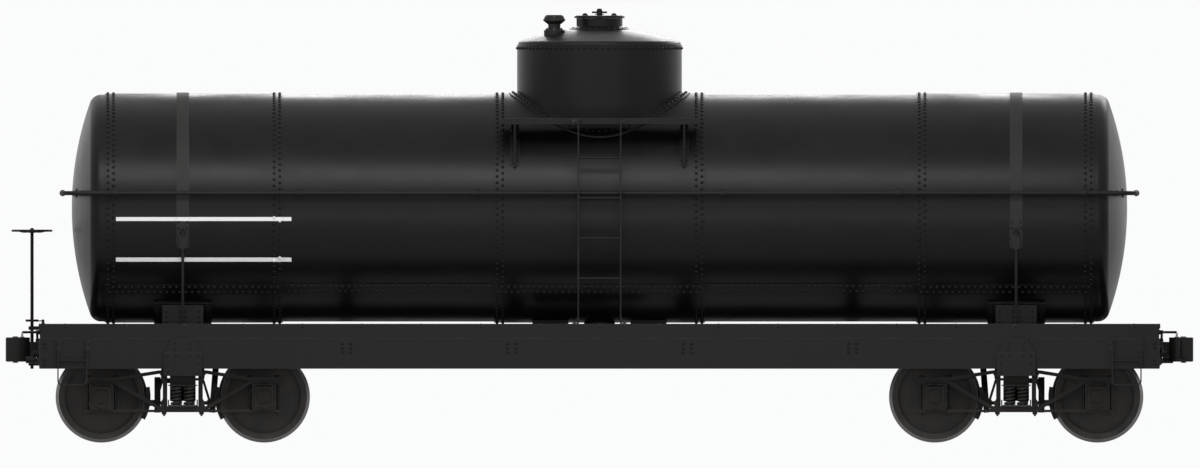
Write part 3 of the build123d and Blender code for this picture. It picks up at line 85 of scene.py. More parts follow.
# %% Camera
camera_data = bpy.data.cameras.new("side_view")
camera_data.type = "ORTHO"
camera_data.ortho_scale = 11.62
camera_data.clip_end = 200
camera = bpy.data.objects.new("side_view", camera_data)
camera.location = (0.005, -30.0, 2.02)
camera.rotation_euler = (radians(90), 0, 0)
bpy.context.collection.objects.link(camera)
bpy.context.scene.camera = camera
print("the picture is", camera_data.ortho_scale, "m wide")

# %% [markdown]
# ## Shader sums in plain Python
#
# A finish is mostly arithmetic: so much dust where the plate looks up, so much rust near
# the rail. Wiring Math nodes by hand hides that arithmetic, so a small class wraps a
# node's output and lets `1 - mask * 0.5` add the nodes itself. Colours go through Mix
# nodes, because a Math node would turn them grey. One method adds any other node.

# %% A wire that can be calculated with
def sums(operation):
    """The two methods of one operation: with the wire first, and with the wire second."""
    def forward(first, second):
        nodes = (first if isinstance(first, Wire) else second).nodes
        return nodes.node("ShaderNodeMath", {"operation": operation}, {0: first, 1: second})
    return forward, lambda wire, other: forward(other, wire)


class Wire:
    """The output of a node, which can be calculated with."""

    __add__, __radd__ = sums("ADD")
    __sub__, __rsub__ = sums("SUBTRACT")
    __mul__, __rmul__ = sums("MULTIPLY")
    __truediv__, __rtruediv__ = sums("DIVIDE")
    __pow__, __rpow__ = sums("POWER")

    def __init__(self, nodes, socket):
        self.nodes, self.socket = nodes, socket

    def span(self, low, high):
        """0 below low, 1 above high, and a straight rise between them."""
        return self.nodes.node("ShaderNodeMapRange", {}, {
            "Value": self, "From Min": low, "From Max": high})


print("wires can be added and multiplied")

# %% Nodes of a material
class Nodes:
    """The nodes of a material or of the world, emptied to begin with."""

    def __init__(self, owner):
        owner.use_nodes = True
        self.owner, self.tree = owner, owner.node_tree
        self.tree.nodes.clear()

    def node(self, kind, settings, values, output=0):
        """One node: its settings first, then the numbers or wires of its sockets."""
        node = self.tree.nodes.new(kind)
        for name, value in settings.items():
            setattr(node, name, value)
        for name, value in values.items():
            if isinstance(value, Wire):
                self.tree.links.new(value.socket, node.inputs[name])
            else:
                node.inputs[name].default_value = value
        return Wire(self, node.outputs[output]) if node.outputs else None

    def end(self, kind, shader):
        """Leads a shader to the output, and gives the material or world."""
        self.node(kind, {}, {"Surface": shader})
        return self.owner


print("nodes come from one method")

# %% [markdown]
# ## Light
#
# Black paint shows its form by what it mirrors. Two long soft lamps lie along the car, one
# high in front and one high behind, and give the tank a broad soft line of light. A weak
# one lies low in front, for the trucks. The sky is pale where the camera or a mirror sees
# it, and dimmer as a lamp, so that the car isn't washed out.

# %% Studio
pale = (0.96, 0.965, 0.97, 1)


def looked_at(nodes):
    """1 for the rays that see a thing, and 0 for those that only fetch its light."""
    rays = [nodes.node("ShaderNodeLightPath", {}, {}, f"Is {ray} Ray")
            for ray in ("Camera", "Glossy", "Transmission")]
    return rays[0] + rays[1] + rays[2]


world = bpy.data.worlds.new("studio")
sky = Nodes(world)
seen = sky.node("ShaderNodeBackground", {}, {"Color": pale, "Strength": 1.0})
dim = sky.node("ShaderNodeBackground", {}, {"Color": (0.95, 0.97, 1.0, 1), "Strength": 0.45})
mixed = sky.node("ShaderNodeMixShader", {}, {0: looked_at(sky), 1: dim, 2: seen})
sky.end("ShaderNodeOutputWorld", mixed)
bpy.context.scene.world = world
bpy.context.scene.view_settings.view_transform = "Standard"

for name, place, aim, size, watts in (
        ("front_lamp", (-1.5, -9.0, 8.0), (0, 0, 1.8), (13, 2.2), 700),
        ("back_lamp", (2.0, 9.0, 7.0), (0, 0, 2.2), (13, 2.2), 560),
        ("low_lamp", (0.0, -10.0, 1.0), (0, 0, 0.8), (14, 0.8), 140)):
    data = bpy.data.lights.new(name, "AREA")
    data.shape = "RECTANGLE"
    data.size, data.size_y = size
    data.energy = watts
    lamp = bpy.data.objects.new(name, data)
    lamp.location = place
    lamp.rotation_euler = (Vector(aim) - Vector(place)).to_track_quat("-Z", "Y").to_euler()
    bpy.context.collection.objects.link(lamp)
print("lamps:", len(bpy.data.lights))

# %% [markdown]
# ## A finish under construction
#
# Every finish starts from the same few things: the place on the object, noise, a mix of
# two colours, and a bump. They could be written out in each material, but as methods of
# one class they read like a recipe. The object's own coordinates are the car's, in metres,
# because every object here sits at the origin.

# %% A finish
class Finish(Nodes):
    """A material under construction, which knows the object's own coordinates."""

    def __init__(self, name):
        super().__init__(bpy.data.materials.new(name))
        self.place = self.node("ShaderNodeTexCoord", {}, {}, "Object")

    def axis(self, letter, place=None):
        """One coordinate of a place."""
        return self.node("ShaderNodeSeparateXYZ", {}, {0: place or self.place}, letter)

    def stretched(self, x, y, z):
        """The object's own coordinates, scaled along each axis."""
        return self.node("ShaderNodeMapping", {}, {"Vector": self.place, "Scale": (x, y, z)})

    def noise(self, scale, detail=4.0, rough=0.55, place=None):
        """Clouds between 0 and 1; scale is how many there are to a metre."""
        return self.node("ShaderNodeTexNoise", {}, {
            "Vector": place or self.place, "Scale": scale, "Detail": detail, "Roughness": rough})

    def mix(self, share, first, second):
        """A colour between two, each as (r, g, b) or as a wire."""
        colours = [c if isinstance(c, Wire) else (*c, 1) for c in (first, second)]
        return self.node("ShaderNodeMix", {"data_type": "RGBA"}, {
            0: share, 6: colours[0], 7: colours[1]}, 2)

    def bump(self, height, strength, distance, normal=None):
        """Small relief, laid over the normal if one is given."""
        values = {"Height": height, "Strength": strength, "Distance": distance}
        if normal:
            values["Normal"] = normal
        return self.node("ShaderNodeBump", {}, values)

    def done(self, colour, rough, metal=0.0, normal=None, specular=0.5):
        """Ends the finish in one shader and gives the material."""
        values = {"Base Color": colour if isinstance(colour, Wire) else (*colour, 1),
                  "Roughness": rough, "Metallic": metal, "Specular IOR Level": specular}
        if normal:
            values["Normal"] = normal
        shader = self.node("ShaderNodeBsdfPrincipled", {}, values)
        return self.end("ShaderNodeOutputMaterial", shader)


print("a finish is made of wires and sums")

# %% [markdown]
# ## Black paint
#
# The whole car is black, and still no two of its blacks are alike. The tank was painted
# with care and is nearly smooth. The frame is flatter, and dust lies on what looks up. The
# trucks run in the dirt of the line, and the bands round the tank have the greyest edges.
# One function gives all of them: a colour, how dull it is, how much dust it keeps, and how
# grey its edges turn. The Bevel node rounds each sharp corner in the shader, and where it
# turns the normal most, there is an edge. That grey is partly paint worn to the steel and
# partly a painted highlight, so that edges, hollow ones too, show as light lines.

# %% Paint
# the grey put on edges: partly paint worn to the steel, partly a painted highlight
wear_and_glint_grey = (0.16, 0.155, 0.15)


def paint(name, colour, rough=0.4, dust=0.2, dirt=(0.13, 0.115, 0.1), wear_and_glint=0.4, low=0.3,
          waves=0.0, corner=0.004, specular=0.35, pits=0.15):
    """Black paint over steel; low is the dust near the ground, waves the plate's unevenness."""
    f = Finish(name)
    patches = f.noise(1.7, 6).span(0.32, 0.72)
    specks = f.noise(70, 2).span(0.45, 0.8)
    runs = f.noise(1.0, 5, 0.6, f.stretched(14, 14, 0.9)).span(0.42, 0.78)
    facing = f.node("ShaderNodeTexCoord", {}, {}, "Normal")
    up = f.axis("Z", facing).span(0.15, 0.95)
    near_ground = 1 - f.axis("Z").span(0.25, 1.25)
    settled = (up * 0.55 + near_ground * low + runs * 0.18) * (patches * 0.6 + specks * 0.4)
    plain = f.node("ShaderNodeNewGeometry", {}, {}, "Normal")
    rounded = f.node("ShaderNodeBevel", {"samples": 4}, {"Radius": corner})
    alike = f.node("ShaderNodeVectorMath", {"operation": "DOT_PRODUCT"},
                   {0: plain, 1: rounded}, "Value")
    # edges the Bevel node finds, hollow ones too, turn grey: worn paint and a painted highlight
    edge = (1 - alike).span(0.004, 0.12) * f.noise(16, 4).span(0.3, 0.62) * wear_and_glint
    faded = f.mix(patches * 0.5, colour, [c * 1.5 for c in colour])
    dusty = f.mix(settled * dust, faded, dirt)
    # the edges' grey is partly worn paint and partly a painted highlight
    rubbed_and_glinting = f.mix(edge, dusty, wear_and_glint_grey)
    skin = f.noise(240, 2) * pits + f.noise(9, 3) * pits
    shape = f.bump(skin, 0.35, 0.0012, rounded)
    if waves:
        shape = f.bump(f.noise(1.0, 2, 0.5, f.stretched(1.3, 2.2, 2.2)), waves, 0.012, shape)
    return f.done(rubbed_and_glinting, rough + settled * 0.35 + patches * 0.05, 0.0, shape, specular)


# each black's edges turn grey by its own share: worn paint, and a painted highlight
tank_enamel = paint("tank_enamel", (0.0035, 0.0035, 0.004), rough=0.3, dust=0.07, wear_and_glint=0.2,
                    low=0.0, waves=0.25, specular=0.16)
frame_paint = paint("frame_paint", (0.005, 0.005, 0.0053), rough=0.42, dust=0.16, wear_and_glint=0.45,
                    specular=0.16)
truck_paint = paint("truck_paint", (0.007, 0.0067, 0.0064), rough=0.5, dust=0.34, low=0.55,
                    dirt=(0.12, 0.1, 0.082), wear_and_glint=0.6, specular=0.2)
casting = paint("rough_casting", (0.008, 0.0075, 0.007), rough=0.55, dust=0.3, low=0.4,
                dirt=(0.11, 0.085, 0.066), wear_and_glint=0.7, pits=0.6, corner=0.006, specular=0.2)
band_paint = paint("band_paint", (0.012, 0.0117, 0.0112), rough=0.55, dust=0.3, wear_and_glint=0.8,
                   low=0.0, corner=0.005, specular=0.25)
print("five blacks are mixed")

# %% [markdown]
# ## Wheels
#
# A wheel's plate is black with old grease, and the tread that rolls on the rail is bright.
# The bright ring could be a mesh of its own, but it is only a matter of radius: the finish
# measures the distance from the axle, and turns to steel where that passes the rim.

# %% Wheel iron
pivots = {joint["child"]: joint["pos_m"] for joint in frame["joints"]}
trucks = {name: pivots[name][0] for name in ("truck_a", "truck_b")}
axles = {name: place[0] for name, place in pivots.items() if name.startswith("wheelset")}
truck_x, axle_z = trucks["truck_a"], pivots["wheelset_a1"][2]
axle_x = axles["wheelset_a1"] - truck_x
tread_from, tread_to = 0.4135, 0.4165


def wheel_iron(name, x):
    """Cast iron round an axle at x, polished where it runs on the rail."""
    f = Finish(name)
    away, up = f.axis("X") - x, f.axis("Z") - axle_z
    reach = (away * away + up * up) ** 0.5
    bright = reach.span(tread_from, tread_to)
    grime = f.noise(7, 6, 0.6).span(0.35, 0.7)
    grease = (1 - reach.span(0.09, 0.2)) * f.noise(18, 4).span(0.3, 0.7)
    plate = f.mix(grime * 0.5, (0.013, 0.0125, 0.012), (0.05, 0.038, 0.03))
    oiled = f.mix(grease * 0.8, plate, (0.006, 0.006, 0.006))
    colour = f.mix(bright, oiled, (0.2, 0.195, 0.19))
    rings = f.noise(1.0, 2, 0.5, f.stretched(3, 260, 3)) * bright
    shape = f.bump(f.noise(90, 3) * (1 - bright) + rings * 0.3, 0.35, 0.001)
    rough = 0.62 - grease * 0.3 - bright * 0.22 + f.noise(30, 3) * 0.1
    return f.done(colour, rough, bright * 0.95, shape, 0.4)


wheel_finishes = {name: wheel_iron(f"iron_of_{name}", x) for name, x in axles.items()}
print("axles at", [round(x, 3) for x in axles.values()])

# %% [markdown]
# ## Boards
#
# The running boards are sawn planks, painted black with the rest and walked grey since.
# Grain is noise drawn out along the plank. Each plank also has its own tone, found from
# its number across the deck, because two planks of one deck never weather alike.

# %% Plank finish
def planks(name, along, pitch, start):
    """Old black boards; along is X or Y, pitch and start say where one plank ends."""
    f = Finish(name)
    grain_scale = (1.6, 34, 34) if along == "X" else (34, 1.6, 34)
    grain = f.noise(1.0, 9, 0.62, f.stretched(*grain_scale)).span(0.25, 0.75)
    fine = f.noise(1.0, 4, 0.6, f.stretched(*(4 * s for s in grain_scale))).span(0.3, 0.7)
    across = f.axis("Y" if along == "X" else "X")
    one_side = f.node("ShaderNodeMath", {"operation": "ABSOLUTE"}, {0: across})
    number = f.node("ShaderNodeMath", {"operation": "FLOOR"}, {0: (one_side - start) / pitch})
    tone = f.node("ShaderNodeTexWhiteNoise", {"noise_dimensions": "1D"}, {"W": number})
    worn = f.noise(2.2, 5).span(0.35, 0.65)
    wood = f.mix(grain, (0.028, 0.025, 0.022), (0.085, 0.075, 0.064))
    shade = f.mix(tone * 0.4, wood, (0.03, 0.028, 0.026))
    black = f.mix((1 - worn * 0.75) * (1 - fine * 0.35), shade, (0.012, 0.012, 0.012))
    shape = f.bump(grain * 0.7 + fine * 0.3, 0.6, 0.0025)
    return f.done(black, 0.72 + grain * 0.15, 0.0, shape, 0.25)


walk_inner, walk_pitch = 1.062, 0.1675
step_inner, step_pitch = 0.815, 0.199
end_start = 4.950
side_boards = planks("side_boards", "X", walk_pitch, walk_inner)
end_boards = planks("end_boards", "Y", 0.1557, end_start)
step_boards = planks("dome_boards", "X", step_pitch, step_inner)
print("three decks have their planks")

# %% [markdown]
# ## White paint and bare steel
#
# Two white lines frame the place of the car's number, and the place itself stays bare.
# Their paint is a little chalky, and the black shows through its thin spots. A few small
# things are bare steel: the chains, and the bolt heads of the deck, which boots rub.

# %% White lines, steel and coils
def line_paint():
    """White lead paint, thin in spots."""
    f = Finish("white_line_paint")
    thin = f.noise(38, 5).span(0.66, 0.8) * 0.5
    colour = f.mix(thin, (0.78, 0.78, 0.76), (0.05, 0.05, 0.05))
    return f.done(colour, 0.5 + thin * 0.2, 0.0, f.bump(f.noise(150, 2), 0.2, 0.0005))


def bare_steel(name, colour, rough):
    """Steel without paint, with rust in patches."""
    f = Finish(name)
    rust = f.noise(26, 6, 0.65).span(0.48, 0.72)
    shade = f.mix(rust * 0.75, colour, (0.075, 0.036, 0.02))
    shape = f.bump(f.noise(120, 3), 0.3, 0.0006)
    return f.done(shade, rough + rust * 0.3, 0.85 - rust * 0.6, shape)


white_line = line_paint()
pin_steel = bare_steel("pin_steel", (0.17, 0.165, 0.16), 0.38)
coil_steel = paint("coil_steel", (0.018, 0.017, 0.016), rough=0.5, dust=0.4, low=0.4, corner=0.001)
print("white paint, pins and coils")

# %% [markdown]
# ## Finishes on the CAD pieces
#
# The record gives each CAD piece a slot, such as `tank_black`. A table turns slots into
# finishes. A second one holds the pieces that want their own: the decks, the bands, and
# the wheelsets, because each wheel's finish knows its own axle.

# %% Dress the CAD pieces
slot_finish = {"tank_black": tank_enamel, "frame_black": frame_paint, "cast_steel": casting,
               "truck_steel": truck_paint, "platform_wood": step_boards}
own_finish = {"running_boards": side_boards, "end_platforms": end_boards,
              "tank_bands": band_paint, **wheel_finishes}
slots = {row["node"]: row["material_slot"] for row in frame["record"]["subparts"]}
for name, thing in frame["nodes"].items():
    for place in thing.material_slots:
        place.link = "OBJECT"
        place.material = own_finish.get(name) or slot_finish[slots[name]]
print("dressed", len(frame["nodes"]), "CAD pieces")

# %% [markdown]
# ## Floor
#
# The car stands on a plain pale floor. The side view looks along it and hardly shows it,
# but every other view does, with the car's shadow on it. Brighter lamps would make the
# floor paler, but the paint too, so the floor glows a little, and only where the camera
# or a mirror sees it.

# %% Floor
ground = Finish("pale_floor")
shade = ground.noise(0.6, 4).span(0.3, 0.7)
colour = ground.mix(shade, (0.76, 0.76, 0.755), (0.8, 0.8, 0.795))
matt = ground.node("ShaderNodeBsdfPrincipled", {}, {
    "Base Color": colour, "Roughness": 1.0, "Specular IOR Level": 0.0})
glow = ground.node("ShaderNodeEmission", {}, {"Color": pale, "Strength": 1.0})
mixed = ground.node("ShaderNodeMixShader", {}, {0: looked_at(ground) * 0.42, 1: matt, 2: glow})

floor_half = 90
floor_mesh = bpy.data.meshes.new("floor")
floor_corners = [(x * floor_half, y * floor_half, 0)
                 for x, y in ((-1, -1), (1, -1), (1, 1), (-1, 1))]
floor_mesh.from_pydata(floor_corners, [], [(0, 1, 2, 3)])
floor_mesh.materials.append(ground.end("ShaderNodeOutputMaterial", mixed))
floor = bpy.data.objects.new("floor", floor_mesh)
bpy.context.collection.objects.link(floor)
floor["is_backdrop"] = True
print("the floor is", 2 * floor_half, "m wide")

# %% [markdown]
# ## Small forms in great number
#
# A riveted car has thousands of equal small forms. Blender could scatter instances, or copy
# one object again and again, but both make a scene that is slow and hard to export. So each
# form is made once, as plain arrays of corners and faces, and a heap stamps it down wherever
# it is needed. One heap becomes one mesh, which rides on one body of the car.

# %% A heap of forms
class Heap:
    """Forms gathered into one mesh. A form is its corners and its faces."""

    def __init__(self):
        self.corners, self.faces, self.total = [], [], 0

    def add(self, form, place=(0, 0, 0), out=(0, 0, 1), along=(1, 0, 0)):
        """Stamps a form: its z axis points out, and its x axis as nearly along as it can."""
        z = Vector(out).normalized()
        y = z.cross(Vector(along))
        if y.length < 1e-6:
            y = z.cross(Vector((0, 1, 0)))
        y.normalize()
        turn = np.array((y.cross(z), y, z))
        corners, faces = form
        self.corners.append(np.asarray(corners) @ turn + np.array(place))
        self.faces += [[i + self.total for i in face] for face in faces]
        self.total += len(corners)

    def grid(self, form, xs, ys, zs, out=(0, 0, 1)):
        """Stamps a form at every meeting of some x, y and z."""
        for place in product(xs, ys, zs):
            self.add(form, place, out)

    def piece(self, name, body, finish, slot):
        """Turns the heap into an object that rides on a body."""
        mesh = bpy.data.meshes.new(name)
        mesh.from_pydata(np.concatenate(self.corners).tolist(), [], self.faces)
        shape = bmesh.new()
        shape.from_mesh(mesh)
        bmesh.ops.recalc_face_normals(shape, faces=shape.faces)
        shape.to_mesh(mesh)
        shape.free()
        mesh.shade_smooth()
        mesh.set_sharp_from_angle(angle=radians(38))
        mesh.materials.append(finish)
        thing = bpy.data.objects.new(name, mesh)
        bpy.context.collection.objects.link(thing)
        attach(thing, body)
        print(f"{name}: {sum(len(face) - 2 for face in self.faces)} triangles")
        return thing


print("a heap is ready")

# %% [markdown]
# ## Turned, bent and sawn forms
#
# Nearly everything small on the car is one of three kinds. Rivets, washers and collars are
# turned, so a profile goes round an axis. Rods, chains and springs are bent, so a circle
# follows a line. Boards and clips are blocks, with edges that are never quite sharp.

# %% A skin between rounds
def skin(rounds, closed=False):
    """The form of rounds of corners, each joined to the next; closed joins the last to the
    first, and otherwise both ends get a cap. A round may be a single corner."""
    starts = np.cumsum([0] + [len(corners) for corners in rounds])
    numbers = [list(range(a, b)) for a, b in zip(starts, starts[1:])]
    faces = []
    for low, high in zip(numbers, numbers[1:] + numbers[:1] if closed else numbers[1:]):
        for i in range(max(len(low), len(high))):
            four = [side[k % len(side)]
                    for side, k in ((low, i), (low, i + 1), (high, i + 1), (high, i))]
            faces.append(list(dict.fromkeys(four)))
    if not closed:
        faces += [cap for cap in (numbers[0][::-1], numbers[-1]) if len(cap) > 1]
    return np.array([tuple(corner) for corners in rounds for corner in corners]), faces


print("rounds of corners become a skin")

# %% Turned forms and bent bars
def around(count, shift=0.5):
    """Angles in equal steps round a circle, turned by a part of a step."""
    return [tau * (k + shift) / count for k in range(count)]


def turned(profile, sides=12, ring=False):
    """A form turned about z from points (radius, height), foot first; a ring has no axis."""
    return skin([[(radius * cos(a), radius * sin(a), height)
                  for a in around(sides if radius else 1, 0)]
                 for radius, height in profile], ring)


def bent(points, radius, sides=8, loop=False):
    """A round bar that follows points; a loop joins its last point to its first."""
    line = [Vector(p) for p in points]
    rounds, side = [], None
    for i, point in enumerate(line):
        before = line[i - 1] if i or loop else point
        after = line[(i + 1) % len(line)] if i < len(line) - 1 or loop else point
        run = (after - before).normalized()
        side = side or run.orthogonal()
        side = (side - run * side.dot(run)).normalized()
        other = run.cross(side)
        rounds.append([point + radius * (side * cos(a) + other * sin(a))
                       for a in around(sides, 0)])
    return skin(rounds, loop)


print("profiles can be turned, and bars bent")

# %% Blocks and rivets
def brick(x, y, z, edge=0.002, steps=1):
    """A block between pairs of coordinates, its edges rounded."""
    shape = bmesh.new()
    bmesh.ops.create_cube(shape, size=1.0)
    bmesh.ops.scale(shape, vec=[abs(b - a) for a, b in (x, y, z)], verts=shape.verts)
    bmesh.ops.bevel(shape, geom=shape.edges[:], offset=edge, segments=steps, profile=0.5,
                    affect="EDGES")
    shape.verts.index_update()
    middle = np.array([(a + b) / 2 for a, b in (x, y, z)])
    corners = np.array([corner.co[:] for corner in shape.verts]) + middle
    faces = [[corner.index for corner in face.verts] for face in shape.faces]
    shape.free()
    return corners, faces


rivet = turned([(0.0150, -0.002), (0.0150, 0.001), (0.0125, 0.0085), (0.0065, 0.0125),
                (0, 0.0135)], 10)
small_rivet = turned([(0.011, -0.002), (0.011, 0.001), (0.009, 0.006), (0.0045, 0.0088),
                      (0, 0.0093)], 10)
print("a rivet has", len(rivet[0]), "corners")

# %% [markdown]
# ## Nuts and bolt heads
#
# Bolts of that time had square heads, and nuts were square or six-sided. Their corners were
# cut round at the top, which a turned form with few sides shows by a second, smaller ring.
# The bolt's end stands out of its nut by a thread or two.

# %% Nuts and bolts
def nut(width, height, sides=6, stud=0.5):
    """A nut on its washer, with the bolt's end; stud is the end's height, in nut heights."""
    corner, whole = width / 2 / cos(pi / sides), Heap()
    whole.add(turned([(corner * 1.15, -0.002), (corner * 1.15, 0.003)], 16))
    whole.add(turned([(corner, 0.002), (corner, height * 0.85), (corner * 0.86, height)], sides))
    if stud:
        bolt, top = width * 0.27, height * (1 + stud)
        whole.add(turned([(bolt, height * 0.5), (bolt, top - 0.002), (bolt * 0.8, top)], 10))
    return np.concatenate(whole.corners), whole.faces


square_head = nut(0.032, 0.011, 4, 0)
small_nut = nut(0.026, 0.014)
clip_nut = nut(0.022, 0.010, 6, 0.3)
carriage_head = turned([(0.0135, -0.001), (0.0125, 0.002), (0.007, 0.0042), (0, 0.005)], 12)
print("four sorts of bolt")

# %% [markdown]
# ## Rivets round the tank
#
# The tank is rolled from plates that lap over each other. Where they lap, two rows of
# rivets go all the way round, and the outer plate's edge is caulked. The places come from
# the CAD model, whose plates differ in radius by their thickness. Both rows go through the
# outer plate, so every rivet stands on the outer radius, and points away from the tank's
# axis. Where a foot of the handrail stands on a seam, the rivets leave room for it.

# %% Tank seams
both = (-1, 1)
outer_r, inner_r = 1.110, 1.099
tank_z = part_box("tank")[1][2] - outer_r
rail_low, rail_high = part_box("handrail_ends")
rail_z, pipe_r = (rail_high[2] + rail_low[2]) / 2, (rail_high[2] - rail_low[2]) / 2
rail_x, rail_y = rail_high[0] - pipe_r, rail_high[1] - pipe_r
rail_posts, foot_y, foot_room = (1.2, 2.9, 4.7), 1.09, 0.06
stripe_heights = ((2.146, 2.184), (1.752, 1.792))
stripe_from, stripe_to = 2.983, 4.682


def round_tank(radius, angle):
    """A place on the tank's shell, as (y, z); the angle starts at +Y and goes up."""
    return radius * cos(angle), tank_z + radius * sin(angle)


def on_shell(heap, form, x, radius, angle):
    """Stamps a form on the shell, pointing away from the tank's axis."""
    heap.add(form, (x, *round_tank(radius, angle)), (0, cos(angle), sin(angle)))


def in_stripe(x, y, z):
    """Whether a place is on a white line: they are at the left end, seen from either side."""
    to_the_left = x if y > 0 else -x
    return stripe_from < to_the_left < stripe_to and any(a < z < b for a, b in stripe_heights)


rail_feet = [Vector((end * x, side * foot_y, rail_z))
             for x, end, side in product(rail_posts, both, both)]
tank_rivets, white_rivets = Heap(), Heap()
for i, seam in enumerate((0.992, 0.937, 3.096, 3.151, 4.760, 4.705)):
    for x, angle in product((-seam, seam), around(112, 0.5 * (i % 2))):
        spot = Vector((x, *round_tank(outer_r, angle)))
        if all((spot - foot).length >= foot_room for foot in rail_feet):
            heap = white_rivets if in_stripe(*spot) else tank_rivets
            on_shell(heap, rivet, x, outer_r, angle)
print("rivets round the tank:", tank_rivets.total // len(rivet[0]))

# %% [markdown]
# ## Straps along the tank
#
# Each course was closed by a strap along it, low on the side, where it wouldn't stand in
# the light. The strap is a thin curved plate, and it has a row of rivets on each side of
# the joint beneath.

# %% Long seams
def on_side(side, angle):
    """An angle up from the middle of the tank's side, for either side."""
    return angle if side > 0 else pi - angle


def curved_plate(x, radius, angles, thickness, steps=6):
    """A plate that follows the tank between two angles, from x[0] to x[1]."""
    low, high = radius - 0.002, radius + thickness
    section = ((x[0], low), (x[0], high), (x[1], high), (x[1], low))
    return skin([[(end, *round_tank(reach, angle)) for end, reach in section]
                 for angle in np.linspace(*angles, steps + 1)])


lap, strap_pitch, strap_row = 3.066, 0.062, 0.03
courses = ((-4.79, -lap, outer_r), (-3.063, -1.025, inner_r), (-1.022, 1.022, outer_r),
           (1.025, 3.063, inner_r), (lap, 4.79, outer_r))
long_straps = Heap()
strap_angle, strap_half, strap_thick, strap_margin = radians(45), 0.058, 0.008, 0.05
for side, (start, stop, radius) in product(both, courses):
    middle, length = on_side(side, -strap_angle), stop - start - 2 * strap_margin
    edges = [middle + sign * strap_half for sign in both]
    long_straps.add(curved_plate((start, stop), radius, edges, strap_thick))
    count = round(length / strap_pitch)
    for row, shift in ((-1, 0.5), (1, 0)):
        for k in range(count + 1):
            x = start + strap_margin + length * (k + shift) / (count + 0.5)
            on_shell(long_straps, rivet, x, radius + strap_thick, middle + row * strap_row)
tank_rivets.piece("tank_seam_rivets", "car_body", tank_enamel, "tank_black")
white_rivets.piece("painted_rivets", "car_body", white_line, "tank_black")
long_straps.piece("tank_long_straps", "car_body", tank_enamel, "tank_black")

# %% [markdown]
# ## Rivets of the dome
#
# The dome's plate is flanged outwards at its foot and riveted to the tank, so its lowest
# row follows the tank's round. Its crown is riveted inside its upper edge, and one upright
# lap on the far side closes the drum. A ring of rivets holds the manway's neck.

# %% Dome rivets
dome_r, dome_top, crown_centre, crown_r = 0.798, 3.854, 1.720, 2.300
flange_r, flange_top = 0.838, 1.121
upright_lap, lap_half = radians(62), 0.034
dome_rivets = Heap()


def on_crown(radius, angle):
    """The place on the crown at a distance from its middle, and the way out of it."""
    out = Vector((radius * cos(angle), radius * sin(angle), sqrt(crown_r ** 2 - radius ** 2)))
    return out + Vector((0, 0, crown_centre)), out


def on_drum(angle, z):
    """Stamps a rivet on the dome's upright wall."""
    out = Vector((cos(angle), sin(angle), 0))
    dome_rivets.add(rivet, dome_r * out + Vector((0, 0, z)), out)


for angle in around(88, 0):
    y = flange_r * sin(angle)
    rise = sqrt(flange_top ** 2 - y ** 2)
    dome_rivets.add(rivet, (flange_r * cos(angle), y, tank_z + rise), (0, y, rise))
for angle in around(84):
    on_drum(angle, dome_top - 0.034)
for angle in (upright_lap - lap_half, upright_lap + lap_half):
    foot = tank_z + sqrt(flange_top ** 2 - (dome_r * sin(angle)) ** 2) + 0.055
    for z in np.linspace(foot, dome_top - 0.09, 12):
        on_drum(angle, z)
neck_ring = [(0.2225, -0.004), (0.292, -0.013), (0.294, -0.004), (0.288, 0.0), (0.236, 0.0078),
             (0.2225, 0.021)]
ring_up = 0.009
ring_z = on_crown(0.288, 0)[0].z + ring_up
dome_rivets.add(turned(neck_ring, 64, ring=True), (0, 0, ring_z))
for angle in around(28):
    place, out = on_crown(0.262, angle)
    dome_rivets.add(small_rivet, place + out.normalized() * ring_up, out)
dome_rivets.piece("dome_rivets", "car_body", tank_enamel, "tank_black")

# %% [markdown]
# ## White lines
#
# Paint has hardly any thickness, and could be a mask in the tank's finish. Here it is a
# sheet under a millimetre thick instead: its edge then stays sharp however the finish is
# baked. It steps over the plate's edge and over the tank's band, as the brush did.

# %% Lines on the tank
lines, band_top, band_from, band_to = Heap(), 1.1206, 3.975, 4.095
stretches = ((stripe_from, lap, inner_r), (lap, band_from, outer_r),
             (band_from, band_to, band_top), (band_to, stripe_to, outer_r))
for side, row, (start, stop, radius) in product(both, (0, 1), stretches):
    # the lower line runs below the band's end, where there is only its rod
    if row and radius == band_top:
        radius = outer_r
    angles = [on_side(side, asin((z - tank_z) / (radius + 0.0006)))
              for z in stripe_heights[row]]
    lines.add(curved_plate((side * start, side * stop), radius, angles, 0.0007, 4))
lines.piece("white_lines", "car_body", white_line, "tank_black")

# %% [markdown]
# ## Fittings on the crown
#
# The two safety valves stand on studs with nuts. The manway's cover has a cast bead, and
# bolts through its hinge strap. The bead rides on the cover, so it opens with it.

# %% Valve studs and the cover's bead
valve_x, valve_y, valve_foot = -0.438, 0.25, 3.964
foot_ring, foot_up = 0.079, Vector((0, 0, 0.032))
cap_nut, cap_ring, cap_up = nut(0.02, 0.010, 6, 0.4), 0.092, Vector((0, 0, 0.1545))
valve_studs = Heap()
for side in both:
    middle = Vector((valve_x, side * valve_y, valve_foot))
    for angle in around(6):
        out = Vector((cos(angle), sin(angle), 0))
        valve_studs.add(small_nut, middle + out * foot_ring + foot_up)
        valve_studs.add(cap_nut, middle + out * cap_ring + cap_up,
                        out * 0.43 + Vector((0, 0, 0.30)))
    groove = [(0.0775, 0.1632), (0.0785, 0.1722), (0.072, 0.1762), (0.034, 0.1772), (0.03, 0.1702)]
    valve_studs.add(turned(groove, 32, ring=True), middle)
valve_studs.piece("valve_studs", "car_body", casting, "cast_steel")

